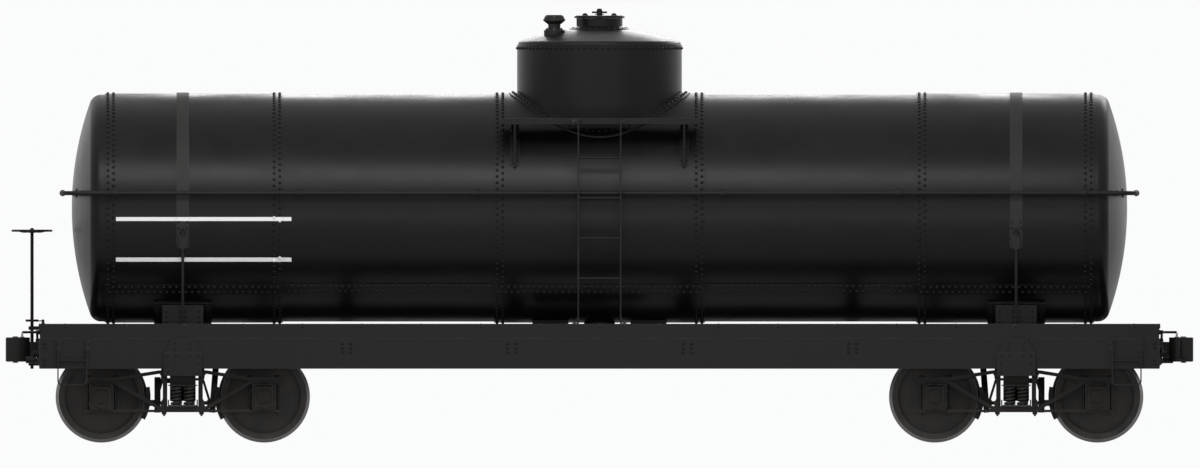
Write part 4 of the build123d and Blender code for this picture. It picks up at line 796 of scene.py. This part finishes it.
cover_bead = Heap()
bead = [(0.226, 4.129), (0.224, 4.1335), (0.216, 4.136), (0.208, 4.1335), (0.206, 4.129)]
cover_bead.add(turned(bead, 64, ring=True))
cover_bead.grid(nut(0.022, 0.010, 4, 0.4), [0], (0.13, 0.205), [4.1423])
for end in both:
    cover_bead.grid(small_rivet, (-0.14, 0.14), [end * 0.011], [4.146], (0, end, 0))
cover_bead.piece("cover_bead", "manway_lid", casting, "cast_steel")

# %% [markdown]
# ## Handrail fittings
#
# The rail is pipe, joined by sleeves, and it passes through cast eyes that end in a foot on
# the shell. Both are turned forms: the eye's axis lies along the rail, the foot's across.

# %% Eyes, feet and sleeves
def either(middle, *reaches):
    """Coordinates on both sides of a middle."""
    return [middle + sign * reach for reach in reaches for sign in both]


rail_fittings = Heap()
rail_up = rail_z - tank_z
eye = turned([(0.0205, -0.036), (0.0245, -0.034), (0.030, -0.018), (0.0315, 0), (0.030, 0.018),
              (0.0245, 0.034), (0.0205, 0.036)], 20)
sleeve = turned([(0.0205, -0.05), (0.0262, -0.048), (0.0262, 0.048), (0.0205, 0.05)], 20)
foot = turned([(0.046, -0.006), (0.046, 0.004), (0.040, 0.009), (0.022, 0.014),
               (0.016, 0.026)], 24)
for post, end, side in product(rail_posts, both, both):
    x, out = end * post, (0, side, 0.13)
    y = side * sqrt((outer_r if post > lap else inner_r) ** 2 - rail_up ** 2)
    rail_fittings.add(eye, (x, side * rail_y, rail_z), (1, 0, 0))
    rail_fittings.add(foot, (x, y, rail_z), out)
    rail_fittings.grid(carriage_head, either(x, 0.033), [y + side * 0.006], [rail_z], out)
# across the ends the rail follows the tank's heads, which are parts of a sphere
sleeve_x, head_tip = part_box("handrail_sides")[1][0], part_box("tank")[1][0]
head_r, end_eye_y = 3.048, 0.5
head_x = head_tip - head_r + sqrt(head_r ** 2 - end_eye_y ** 2 - rail_up ** 2)
for end, side in product(both, both):
    rail_fittings.add(sleeve, (end * sleeve_x, side * rail_y, rail_z), (1, 0, 0))
    rail_fittings.add(eye, (end * rail_x, side * end_eye_y, rail_z), (0, 1, 0))
    rail_fittings.add(foot, (end * head_x, side * end_eye_y, rail_z), (end, side * 0.16, 0.05))
rail_fittings.piece("rail_fittings", "car_body", frame_paint, "frame_black")

# %% [markdown]
# ## Ladder and platform bolts
#
# The rungs' ends go through the stiles and are beaten flat outside. Small angles bolt each
# stile to the platform above and to the running board below. More bolts hold the planks
# of the dome platforms to their brackets.

# %% Ladder clips
def flip(sign, *numbers):
    """Coordinates as they are, or mirrored if the sign is -1."""
    return [sign * number for number in numbers]


ladder_bits = Heap()
stile_out, bracket_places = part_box("ladders")[1][0], (-0.82, 0.82)
clip_out, clip_y = stile_out + 0.007, (1.2163, 1.268)
button = turned([(0.0155, -0.001), (0.0145, 0.003), (0.008, 0.0055), (0, 0.006)], 12)
for side, end in product(both, both):
    rungs = (2.760, 2.370, 1.980, 1.590)
    ladder_bits.grid(button, [end * stile_out], [side * 1.2443], rungs, (end, 0, 0))
    # an angle at the top, against the platform's edge, and one at the foot, on the board
    for low, high, leg_y, leg_z, bolt, out in (
            (3.084, 3.136, (1.2143, 1.2213), (3.084, 3.136), (1.2213, 3.110), (0, side, 0)),
            (1.1515, 1.215, clip_y, (1.1515, 1.1585), (1.242, 1.1585), (0, 0, 1))):
        wing_y = flip(side, *clip_y)
        ladder_bits.add(brick(flip(end, stile_out, clip_out), wing_y, (low, high), 0.0015))
        ladder_bits.add(brick(flip(end, stile_out, 0.262), flip(side, *leg_y), leg_z, 0.0015))
        ladder_bits.add(clip_nut, (end * 0.242, side * bolt[0], bolt[1]), out)
        ladder_bits.add(clip_nut, (end * clip_out, side * 1.245, (low + high) / 2), (end, 0, 0))
for side, x in product(both, bracket_places):
    ladder_bits.grid(carriage_head, [x], flip(side, 0.862, 0.962, 1.062, 1.162), [3.1385])
    for face in both:
        ladder_bits.grid(clip_nut, [x + face * 0.007], [side * 1.035], (2.715, 2.765), (face, 0, 0))
ladder_bits.piece("ladder_clips", "car_body", frame_paint, "frame_black")

# %% [markdown]
# ## Boards of the deck
#
# The CAD deck has planks as long as the car. Real ones are joined every three metres or
# so, over a bearer, and no two lie quite level. New boards replace the CAD ones: the same
# places, with joints, rounded edges and a millimetre or two of unevenness from a seeded
# generator, so that every run gives the same deck.

# %% Running boards
chance = np.random.default_rng(11)
(_, _, bearer_low), (walk_end, walk_outer, deck_high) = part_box("running_boards")
walk_width, deck_low, bolt_z = 0.1595, deck_high - 0.045, deck_high - 0.0055


def board(heap, x, y, low=deck_low, high=deck_high):
    """One plank, a little lower and narrower than its place."""
    sink, trim = chance.uniform(0.0, 0.002), chance.uniform(0.0003, 0.0015)
    heap.add(brick(x, [v + trim * s for v, s in zip(sorted(y), (1, -1))],
                   (low, high - sink), 0.0035, 2))


walks, walk_bolts = Heap(), Heap()
bearers = [walk_end * k / 5.5 for k in range(-5, 6)]
rows = {walk_inner: (2, 5, 8), walk_inner + walk_pitch: (3, 7)}
for side in both:
    for start, joints in rows.items():
        stops = [-walk_end, *(bearers[k] for k in joints), walk_end]
        for a, b in zip(stops, stops[1:]):
            gap = chance.uniform(0.001, 0.003)
            board(walks, (a + gap, b - gap), flip(side, start, start + walk_width))
        for x in bearers:
            pair = either(x, 0.02) if x in stops else [x]
            walk_bolts.grid(carriage_head, pair, flip(side, start + 0.03, start + 0.13), [bolt_z])
    for x in bearers:
        bearer_y = flip(side, walk_inner, walk_outer)
        walks.add(brick(either(x, 0.035), bearer_y, (bearer_low, deck_low), 0.003))
walks.piece("running_planks", "car_body", side_boards, "deck_wood")
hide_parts("running_boards")

# %% [markdown]
# ## Boards across the ends
#
# At each end three planks lie across the car, on short bearers that stand on the sills.

# %% End decks
end_planks = Heap()
end_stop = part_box("end_platforms")[1][0]
plank_pitch, plank_width = 0.15567, 0.14767
end_bearers = [share * 1.34 for share in (-1, -0.5, 0, 0.5, 1)]
for end in both:
    for row in range(3):
        start = end_start + row * plank_pitch
        low, high = sorted(flip(end, start, start + plank_width))
        trim, sink = chance.uniform(0.0003, 0.0015), chance.uniform(0, 0.002)
        end_planks.add(brick((low + trim, high - trim), (-walk_outer, walk_outer),
                             (deck_low, deck_high - sink), 0.0035, 2))
        walk_bolts.grid(carriage_head, (low + 0.03, high - 0.03), end_bearers, [bolt_z])
    for y in end_bearers:
        bearer_x = flip(end, end_start, end_stop)
        end_planks.add(brick(bearer_x, either(y, 0.04), (bearer_low, deck_low), 0.003))
end_planks.piece("end_planks", "car_body", end_boards, "deck_wood")
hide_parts("end_platforms")
walk_bolts.piece("deck_bolts", "car_body", pin_steel, "frame_black")

# %% [markdown]
# ## Dome platforms
#
# On each side of the dome two planks lie in a steel edge, for whoever opens the cover.
# In the CAD model planks and steel are one solid, and one finish would paint both as wood.
# So they are made anew, as boards and as ironwork. Each bracket is a forged web with a
# bead along its curved edge and a riveted foot that follows the shell.

# %% Planks, edges and brackets
step_planks, brackets = Heap(), Heap()
step_end, step_edge, step_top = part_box("dome_platforms")[1]
step_x, step_outer, step_low = (-step_end, step_end), 1.205, step_top - 0.048
step_width, foot_thick = 0.191, 0.008
shell = [round_tank(outer_r + 0.0005, a) for a in np.linspace(radians(21.2), radians(47.7), 9)]
bow_y, bow_z, bow_r = 1.7927, 2.6250, 0.7341
bow_turns = np.linspace(2.4990, 3.0789, 13)
bow = [(bow_y + bow_r * cos(a), bow_z + bow_r * sin(a)) for a in bow_turns]
web = shell[::-1] + bow[::-1] + [(step_outer, step_low)]
bead = ((-0.012, 0.001), (-0.012, -0.006), (0.012, -0.006), (0.012, 0.001))
for side in both:
    for start in (step_inner, step_inner + step_pitch):
        board(step_planks, step_x, flip(side, start, start + step_width), step_low, step_top)
    edge_y = flip(side, step_outer, step_edge)
    brackets.add(brick(step_x, edge_y, (3.085, step_top), 0.0015))
    for x in bracket_places:
        brackets.add(skin([[(face, side * y, z) for y, z in web] for face in either(x, 0.007)]))
        top_y = flip(side, 0.76, step_outer)
        brackets.add(brick(either(x, 0.035), top_y, (step_low - 0.012, step_low), 0.002))
        brackets.add(skin([[(x + dx, side * (y + dr * cos(a)), z + dr * sin(a)) for dx, dr in bead]
                           for (y, z), a in zip(bow, bow_turns)]))
        foot_angles = [on_side(side, radians(a)) for a in (21.5, 44)]
        brackets.add(curved_plate(either(x, 0.045), outer_r, foot_angles, foot_thick))
        for degree, foot_x in product((24, 30, 36, 42), either(x, 0.028)):
            angle = on_side(side, radians(degree))
            on_shell(brackets, small_rivet, foot_x, outer_r + foot_thick, angle)
step_planks.piece("dome_planks", "car_body", step_boards, "platform_wood")
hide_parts("dome_platforms")
brackets.piece("dome_brackets", "car_body", frame_paint, "frame_black")

# %% [markdown]
# ## Rivets and bolts of the frame
#
# The frame's rivets say what is behind the plate. There is a cluster where each cross
# beam meets the side sill, a line of bolts that holds the deck's edge, and square bolts
# in the castings. Each is a grid: one form at every meeting of a few coordinates. A thin
# plate over each corner joins the two sills, and closes the side channel's open end.

# %% Frame rivets
frame_rivets = Heap()
sill_end, sill_y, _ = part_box("side_sills")[1]
corner_end, edge_z = sill_end + 0.006, 1.128
beams = [x for beam in (-2.45, -0.85, 0.85, 2.45) for x in either(beam, 0.04)]
for side in both:
    on_sill, out = [side * sill_y], (0, side, 0)
    frame_rivets.grid(rivet, beams, on_sill, (0.872, 0.916, 0.960), out)
    frame_rivets.grid(square_head, [k * 0.575 for k in range(-9, 10)], on_sill, [edge_z], out)
    for end in both:
        # the jacking casting stands out further below its shoulder than above it
        for reach, face, heights in ((0.145, 1.44, (0.68, 0.76, 0.84)), (0.065, 1.44, [0.84]),
                                     (0.075, 1.432, (0.90, 0.96))):
            places = either(end * truck_x, reach)
            frame_rivets.grid(small_rivet, places, [side * face], heights, out)
        sill_rows = (0.76, 0.80, 0.92, 0.96)
        frame_rivets.grid(rivet, [end * (sill_end - 0.045)], on_sill, sill_rows, out)
        step_bolts = either(end * 5.105, 0.1385)
        frame_rivets.grid(nut(0.028, 0.013, 4, 0.3), step_bolts, [side * 1.4133], (0.91, 0.97), out)
        # what follows is on the end sill, and begins with the plate over the corner
        corner_x, corner_y = flip(end, sill_end - 0.001, corner_end), flip(side, 1.238, 1.3995)
        frame_rivets.add(brick(corner_x, corner_y, (0.718, 1.006), 0.0015))
        for form, x, ys, zs in ((rivet, corner_end, (1.262, 1.370), (0.76, 0.80, 0.93, 0.97)),
                                (rivet, sill_end, (0.205, 0.235), (0.76, 0.82, 0.88, 0.94)),
                                (square_head, 5.45, [0.135], (0.79, 0.98))):
            frame_rivets.grid(form, [end * x], flip(side, *ys), zs, (end, 0, 0))
for end in both:
    across = [k * 0.31 for k in range(-4, 5)]
    frame_rivets.grid(square_head, [end * sill_end], across, [edge_z], (end, 0, 0))
frame_rivets.piece("frame_rivets", "car_body", frame_paint, "frame_black")

# %% [markdown]
# ## Saddles
#
# Over each truck the tank lies in a saddle: a plate that follows the shell, on ribs that
# stand on the bolster. Its rivets tell where the ribs are. The shell plate has a row along
# both its edges, and an angle with bolts holds the saddle's foot. The angle could be in
# the CAD model too, but it is as thin as the rivets' heads and shows only between them.

# %% Saddle rivets and angles
saddle_y, saddle_foot, saddle_r, angle_leg, angle_thick = 0.640, 1.0215, 1.1353, 0.062, 0.009
saddle_rivets = Heap()
for end, side in product(both, both):
    middle, out = end * truck_x, (0, side, 0)
    ribs, rows = either(middle, 0.160, 0.028), (1.120, 1.170, 1.220, 1.270)
    saddle_rivets.grid(small_rivet, ribs, [side * saddle_y], rows, out)
    for reach, top in ((angle_thick, angle_leg), (angle_leg, angle_thick)):
        leg_y = flip(side, saddle_y - 0.001, saddle_y + reach)
        leg_z = (saddle_foot, saddle_foot + top)
        saddle_rivets.add(brick(either(middle, 0.196), leg_y, leg_z, 0.002))
    saddle_rivets.grid(small_rivet, either(middle, 0.150, 0.090, 0.030),
                       [side * (saddle_y + angle_thick)], [saddle_foot + 0.040], out)
    saddle_rivets.grid(small_nut, either(middle, 0.120), [side * (saddle_y + 0.038)],
                       [saddle_foot + angle_thick])
    for degree in np.linspace(-123.5, -56.5, 24):
        on_shell(saddle_rivets, small_rivet, middle + side * 0.2385, saddle_r, radians(degree))
saddle_rivets.piece("saddle_rivets", "car_body", frame_paint, "frame_black")

# %% [markdown]
# ## Tank bands
#
# The band over each truck is drawn down by a threaded rod. Its nut sits on the band's lug,
# and a second nut locks the foot.

# %% Band nuts
band_nuts = Heap()
lean, band_r = radians(20), 1.1203
for end, side in product(both, both):
    for stud, y, z in ((0.9, 1.1095, 2.0165), (0, 0.761, 1.0617)):
        place, out = (end * truck_x, side * y, z), (0, side * sin(lean), cos(lean))
        band_nuts.add(nut(0.044, 0.03, 6, stud), place, out)
    for x, degree in product(either(end * truck_x, 0.044), (7, 10)):
        on_shell(band_nuts, small_rivet, x, band_r, on_side(side, -radians(degree)))
band_nuts.piece("band_nuts", "car_body", frame_paint, "frame_black")

# %% [markdown]
# ## Hand brake
#
# The brakeman wound up the brake chain with a wheel on a tall staff. The CAD wheel is a
# flat ring, but a real one is cast: a round rim for the hands, and four spokes that sink
# towards the hub. A bevel on the CAD ring would give neither, so the staff is made anew
# with its wheel, its toothed ratchet and its barrel, and turns as one piece. The pawl that
# catches the teeth stays on the deck.

# %% Staff and wheel
staff_x, staff_y, _ = pivots["hand_brake"]
axis_place = (staff_x, staff_y, 0)
rim_r, rim_z = 0.189, 2.052
brake_wheel = Heap()
staff = [(0, 0.715), (0.0145, 0.715), (0.016, 0.718), (0.016, 2.066), (0, 2.066)]
brake_wheel.add(turned(staff, 20), axis_place)
brake_wheel.add(nut(0.034, 0.014, 6, 0.3), (staff_x, staff_y, 2.061))
hub = [(0.015, 2.030), (0.034, 2.031), (0.040, 2.038), (0.039, 2.052), (0.031, 2.060),
       (0.015, 2.061)]
brake_wheel.add(turned(hub, 28, ring=True), axis_place)
circle = [(rim_r * cos(a), rim_r * sin(a), rim_z) for a in around(56, 0)]
brake_wheel.add(bent(circle, 0.011, 12, loop=True), axis_place)
sunk = ((0.030, 2.046), (0.075, 2.041), (0.120, 2.041), (0.155, 2.046), (0.187, rim_z))
for angle in around(4):
    spoke = bent([(r * cos(angle), r * sin(angle), z) for r, z in sunk], 0.0095, 10)
    brake_wheel.add(spoke, axis_place)
print("the wheel stands", rim_z, "m over the rail")

# %% Barrel and ratchet
barrel = [(0.015, 0.787), (0.028, 0.787), (0.028, 0.794), (0.022, 0.799), (0.022, 0.885),
          (0.028, 0.890), (0.028, 0.897), (0.015, 0.897)]
brake_wheel.add(turned(barrel, 28, ring=True), axis_place)
teeth = [(reach, (k + part) * tau / 16)
         for k in range(16) for reach, part in ((0.062, 0), (0.052, 0.15))]
ratchet = skin([[(r * cos(a), r * sin(a), z) for r, a in teeth] for z in (1.171, 1.193)])
brake_wheel.add(ratchet, axis_place)
thing = brake_wheel.piece("brake_wheel", "hand_brake", frame_paint, "frame_black")
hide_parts("brake_staff")

# %% Pawl
pawl, pawl_x, pawl_y, plate_top, pawl_z = Heap(), -5.388, 0.580, 1.158, (1.173, 1.184)
pawl.add(brick(either(pawl_x, 0.020), either(pawl_y, 0.045), (1.1505, plate_top), 0.002))
pin = [(0.013, 1.157), (0.013, 1.172), (0.009, 1.172), (0.009, 1.186)]
pawl.add(turned(pin, 16), (pawl_x, pawl_y, 0))
pawl.add(nut(0.020, 0.008, 6, 0.3), (pawl_x, pawl_y, pawl_z[1]))
pawl.grid(carriage_head, [pawl_x], either(pawl_y, 0.032), [plate_top])
heel, toe = Vector((-5.380, 0.590, 0)), Vector((-5.4450, 0.5195, 0))
widths = ((0, 0.007), (0.15, 0.012), (0.6, 0.008), (1, 0.003))
across = (toe - heel).cross(Vector((0, 0, 1))).normalized()
pawl.add(skin([[(*(heel.lerp(toe, share) + across * half * s).to_2d(), pawl_z[up])
                for s, up in ((-1, 0), (1, 0), (1, 1), (-1, 1))] for share, half in widths]))
pawl.piece("brake_pawl", "car_body", frame_paint, "frame_black")

# %% [markdown]
# ## Truck springs
#
# The bolster's end rests on four coils, between a plank and a cap. In the CAD model the
# coils are plain cylinders. A real coil is a bar wound on a mandrel: the first and the last
# half turn lie flat, and the rest climbs evenly. A second, thinner coil is wound the other
# way inside it, so that the two can't tangle.

# %% Coils
coil_low, coil_high, coil_shift = 0.366, 0.5487, 0.062
journal_y = 0.965


def coil(radius, wire, turns, hand=1, sides=8, steps=18):
    """A wound bar, flat at both ends; hand is 1 or -1, steps are those of one turn."""
    points = []
    for k in range(int(turns * steps) + 1):
        rise = min(max((k / steps - 0.5) / (turns - 1), 0), 1)
        angle = hand * tau * k / steps
        points.append((radius * cos(angle), radius * sin(angle),
                       coil_low + wire + (coil_high - coil_low - 2 * wire) * rise))
    return bent(points, wire, sides)


seat = [(0.018, 0.3655), (0.033, 0.3655), (0.031, 0.372), (0.018, 0.372)]
spring = (coil(0.0450, 0.0125, 5.5), coil(0.0205, 0.0075, 8, -1, 6, 12),
          turned(seat, 16, ring=True))
for name, x in trucks.items():
    nest = Heap()
    nest.add(brick(either(x, 0.146), (-1.086, 1.086), (0.3543, coil_low), 0.003, 2))
    for side in both:
        wall_x = (x + side * 0.134, x + side * 0.146)
        nest.add(brick(wall_x, (-0.896, 0.896), (0.3655, 0.416), 0.003))
        cap_y = flip(side, 0.844, 1.086)
        nest.add(brick(either(x, 0.142), cap_y, (0.5489, 0.5607), 0.003, 2))
        for form in spring:
            nest.grid(form, either(x, coil_shift), either(side * journal_y, coil_shift), [0])
    thing = nest.piece(f"{name}_coils", name, coil_steel, "truck_steel")
    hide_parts(f"{name}_springs")

# %% [markdown]
# ## Bolts of the trucks
#
# An arch-bar truck is held by its bolts alone. Two long ones clamp each journal box
# between the bars, and one more goes down through each column. Every bolt has a square
# head on top and a nut below, and they all hang in the plain view of the side.

# %% Truck bolts
bars_low, bars_high, column_high = 0.294, 0.634, 0.700
shank = turned([(0.014, 0.300), (0.014, bars_high)], 12)
box_bolts, column_bolt, under = (0.6545, 0.9205), 0.181, (0, 0, -1)
for name, x in trucks.items():
    bolts = Heap()
    for side, end in product(both, both):
        y, column_x = [side * journal_y], x + end * column_bolt
        box_x = [x + end * reach for reach in box_bolts]
        bolts.grid(shank, box_x, y, [0])
        bolts.grid(nut(0.040, 0.022, 4, 0), box_x, y, [bars_high])
        bolts.grid(nut(0.040, 0.018, 4, 0), [column_x], y, [column_high])
        bolts.grid(nut(0.040, 0.022, 6, 0.7), [*box_x, column_x], y, [bars_low], under)
        bolts.grid(nut(0.03, 0.012, 4, 0), [column_x], [side * 1.022], (0.62, 0.38), (0, side, 0))
        # rivets of the column's flange, above and below the bolster's end
        bolts.grid(small_rivet, [x + end * 0.212], either(*y, 0.036), (0.34, 0.66), (end, 0, 0))
    bolts.piece(f"{name}_bolts", name, truck_paint, "truck_steel")

# %% [markdown]
# ## Journal box lids
#
# The lid of a journal box hangs on a pin over the opening, where the oiler lifts it with
# a hook. It is pressed from plate, so it has a raised middle that keeps it stiff, and a lip
# at its foot. Two lugs on the box hold the pin.

# %% Box lids
def pressed_lid():
    """A lid's raised middle about its own centre, out along z: a rounded square dome."""
    rounds = []
    for half, height in ((0.072, 0.0), (0.069, 0.004), (0.058, 0.0085), (0.034, 0.0105),
                         (0, 0.011)):
        rounds.append([])
        for angle in around(24 if half else 1, 0):
            reach = half / (0.62 + 0.38 * max(abs(cos(angle)), abs(sin(angle))))
            rounds[-1].append((reach * cos(angle), reach * sin(angle), height))
    return skin(rounds)


lid = pressed_lid()
for name, x in trucks.items():
    lids = Heap()
    for side, end in product(both, both):
        at = x + end * axle_x
        lids.add(lid, (at, side * 1.0945, 0.446), (0, side * 0.985, -0.170))
        lids.add(bent([(pin_x, side * 1.087, 0.566) for pin_x in either(at, 0.062)], 0.0095, 10))
        for ear in either(at, 0.055):
            lids.add(brick(either(ear, 0.006), flip(side, 1.068, 1.100), (0.548, 0.578), 0.003))
        lids.add(brick(either(at, 0.028), flip(side, 1.070, 1.096), (0.341, 0.352), 0.003))
        # ribs on the cheeks of the box
        for cheek, z in product(both, (0.39, 0.50)):
            rib_x = (at + cheek * 0.117, at + cheek * 0.124)
            lids.add(brick(rib_x, flip(side, 1.028, 1.072), either(z, 0.008), 0.002))
    lids.piece(f"{name}_lids", name, casting, "cast_steel")

# %% [markdown]
# ## Ribs of the wheels
#
# A chilled iron wheel has curved ribs cast on its back, from the hub to the rim, which let
# the iron shrink as it cools without cracking. They lean round the hub, so each is swept
# along a bow, and a wheel has twelve.

# %% Wheel ribs
def bowed_rib():
    """One bowed rib on the plane z = 0, high at the hub and low at the rim."""
    rounds = []
    for share in np.linspace(0, 1, 9):
        reach, angle = 0.125 + 0.227 * share, 0.38 * share ** 1.4
        x, y, turn = reach * cos(angle), reach * sin(angle), angle + 0.35
        height = 0.020 * (1 - share ** 3) + 0.004
        rounds.append([(x - off * sin(turn), y + off * cos(turn), z) for off, z in (
            (0.013, -0.002), (0.008, height * 0.8), (0.003, height),
            (-0.003, height), (-0.008, height * 0.8), (-0.013, -0.002))])
    return skin(rounds)


wheel_rib, web_y, hub_y = bowed_rib(), 0.6765, 0.6775
collar = turned([(0.071, 0.0), (0.104, 0.0), (0.100, 0.030), (0.080, 0.034), (0.071, 0.034)],
                40, ring=True)
for name, x in axles.items():
    ribs = Heap()
    for side in both:
        inwards = (0, -side, 0)
        for angle in around(12, 0):
            ribs.add(wheel_rib, (x, side * web_y, axle_z), inwards, (cos(angle), 0, sin(angle)))
        ribs.add(collar, (x, side * hub_y, axle_z), inwards)
    ribs.piece(f"{name}_ribs", name, wheel_finishes[name], "wheel_steel")

# %% [markdown]
# ## Chains and pins
#
# Short chains finish the moving gear. One hangs from each uncoupling lever to the lock
# of its coupler, and one goes from the hand brake's barrel to its rod. A link is a bent
# loop: two half circles and two straight sides, each link a quarter turn from the last.

# %% A chain
link_length, link_half, link_wire = 0.036, 0.009, 0.0035
link_side = link_length / 2 - link_half - link_wire
link = bent([(sign * (link_side + link_half * cos(a)), sign * link_half * sin(a), 0)
             for sign in (1, -1) for a in np.linspace(-pi / 2, pi / 2, 7)], link_wire, 6, loop=True)
chains, lever_bits = Heap(), Heap()


def chain(start, stop):
    """Links from one point to another, each turned against its neighbours."""
    start, run = Vector(start), Vector(stop) - Vector(start)
    count = max(1, round(run.length / (link_length - 4 * link_wire)))
    cross = run.orthogonal().normalized()
    for k in range(count):
        out = cross if k % 2 else run.cross(cross)
        chains.add(link, start + run * (k + 0.5) / count, out, run)


print("a link is", link_length, "m long")

# %% Chains, pins and levers
lock = turned([(0.024, 1.0185), (0.024, 1.024), (0.016, 1.028), (0.0, 1.029)], 16)
pin_head = turned([(0.031, 1.0185), (0.031, 1.024), (0.025, 1.0285), (0, 1.0298)], 24)
knob = turned([(0, -0.018), (0.010, -0.015), (0.0165, -0.006), (0.0165, 0.006), (0.010, 0.015),
               (0, 0.018)], 16)
for end in both:
    lock_x, lock_y, pin_x, pin_y = flip(end, 5.590, 0.018, *pivots["knuckle_a"][:2])
    chain((lock_x, lock_y, 1.060), (lock_x, lock_y, 1.022))
    chains.add(lock, (lock_x, lock_y, 0))
    # the knuckle's pin has a round head, and a cotter under the lower lug
    chains.add(pin_head, (pin_x, pin_y, 0))
    chains.add(bent([(x, pin_y, 0.777) for x in either(pin_x, 0.028)], link_wire, 8))
    # the uncoupling lever turns in two eyes, bolted to the deck's edge, and ends in a knob
    for y in flip(end, -1.13, -0.22):
        lever_bits.add(brick(flip(end, 5.419, 5.427), either(y, 0.04), (1.044, 1.094), 0.002))
        lever_bits.grid(clip_nut, [end * 5.427], either(y, 0.030), [1.069], (end, 0, 0))
    lever_bits.add(knob, (end * 5.444, end * -1.29, 0.885))
chain((-5.467, staff_y, 0.84), (-5.392, staff_y, 0.90))
chains.piece("chains", "car_body", pin_steel, "frame_black")
lever_bits.piece("lever_fittings", "car_body", frame_paint, "frame_black")

# %% [markdown]
# ## Brake gear
#
# The cylinder's halves are bolted together, hoops go round it and its reservoir, and a pin
# with a head at each end joins each pair of rods.

# %% Brake bolts
brake_bits = Heap()
cylinder_y, cylinder_z, bolt_ring = -0.62, 0.890, 0.150
for angle in around(10):
    y, z = cylinder_y + bolt_ring * cos(angle), cylinder_z + bolt_ring * sin(angle)
    for x, out in ((0.06, 1), (0.02, -1)):
        brake_bits.add(nut(0.024, 0.013, 6, 0.5), (x, y, z), (out, 0, 0))
for x, radius in ((-0.60, 0.162), (-0.03, 0.162), (0.40, 0.125)):
    low, high = radius - 0.001, radius + 0.005
    hoop = turned([(low, -0.016), (high, -0.015), (high, 0.015), (low, 0.016)], 40, ring=True)
    brake_bits.add(hoop, (x, cylinder_y, cylinder_z), (1, 0, 0))
pin = turned([(0.016, 0.862), (0.022, 0.863), (0.022, 0.868), (0.013, 0.869), (0.013, 0.905),
              (0.022, 0.906), (0.022, 0.912), (0.013, 0.914), (0.0, 0.916)], 14)
for x, y in ((0.76, cylinder_y), (-0.76, cylinder_y), (0.76, 0.06), (-0.76, -0.06)):
    brake_bits.add(pin, (x, y, 0))
brake_bits.piece("brake_bolts", "car_body", frame_paint, "frame_black")

# %% [markdown]
# ## Bolts of the outlet
#
# The valve under the tank hangs from a flange, and its cap has a square boss for the
# wrench. Both face down, where nobody sees them, but a part may be looked at from below.

# %% Outlet bolts
outlet_bits, outlet_ring, outlet_flange = Heap(), 0.122, 1.0995
for angle in around(8):
    spot = (outlet_ring * cos(angle), outlet_ring * sin(angle), outlet_flange)
    outlet_bits.add(nut(0.030, 0.015, 6, 0.5), spot, under)
outlet_bits.add(turned([(0.036, 0.0), (0.036, 0.009), (0.033, 0.011)], 4), (0, 0, 0.7275), under)
cap_bead = [(0.0835, -0.004), (0.0862, -0.003), (0.0862, 0.003), (0.0835, 0.004)]
outlet_bits.grid(turned(cap_bead, 40, ring=True), [0], [0], (0.732, 0.762))
outlet_bits.piece("outlet_bolts", "car_body", casting, "cast_steel")

# %% [markdown]
# ## Last measure
#
# The dressed car is measured again, and how far it grew past the CAD car is printed.
# The dressed car may not be larger than the CAD car.

# %% Sizes
size = {"cad": [list(corner) for corner in cad_size],
        "visual": [list(corner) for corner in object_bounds()]}
print("grown by", [round(v - c, 4) for v, c in zip(sum(size["visual"], []), sum(size["cad"], []))])
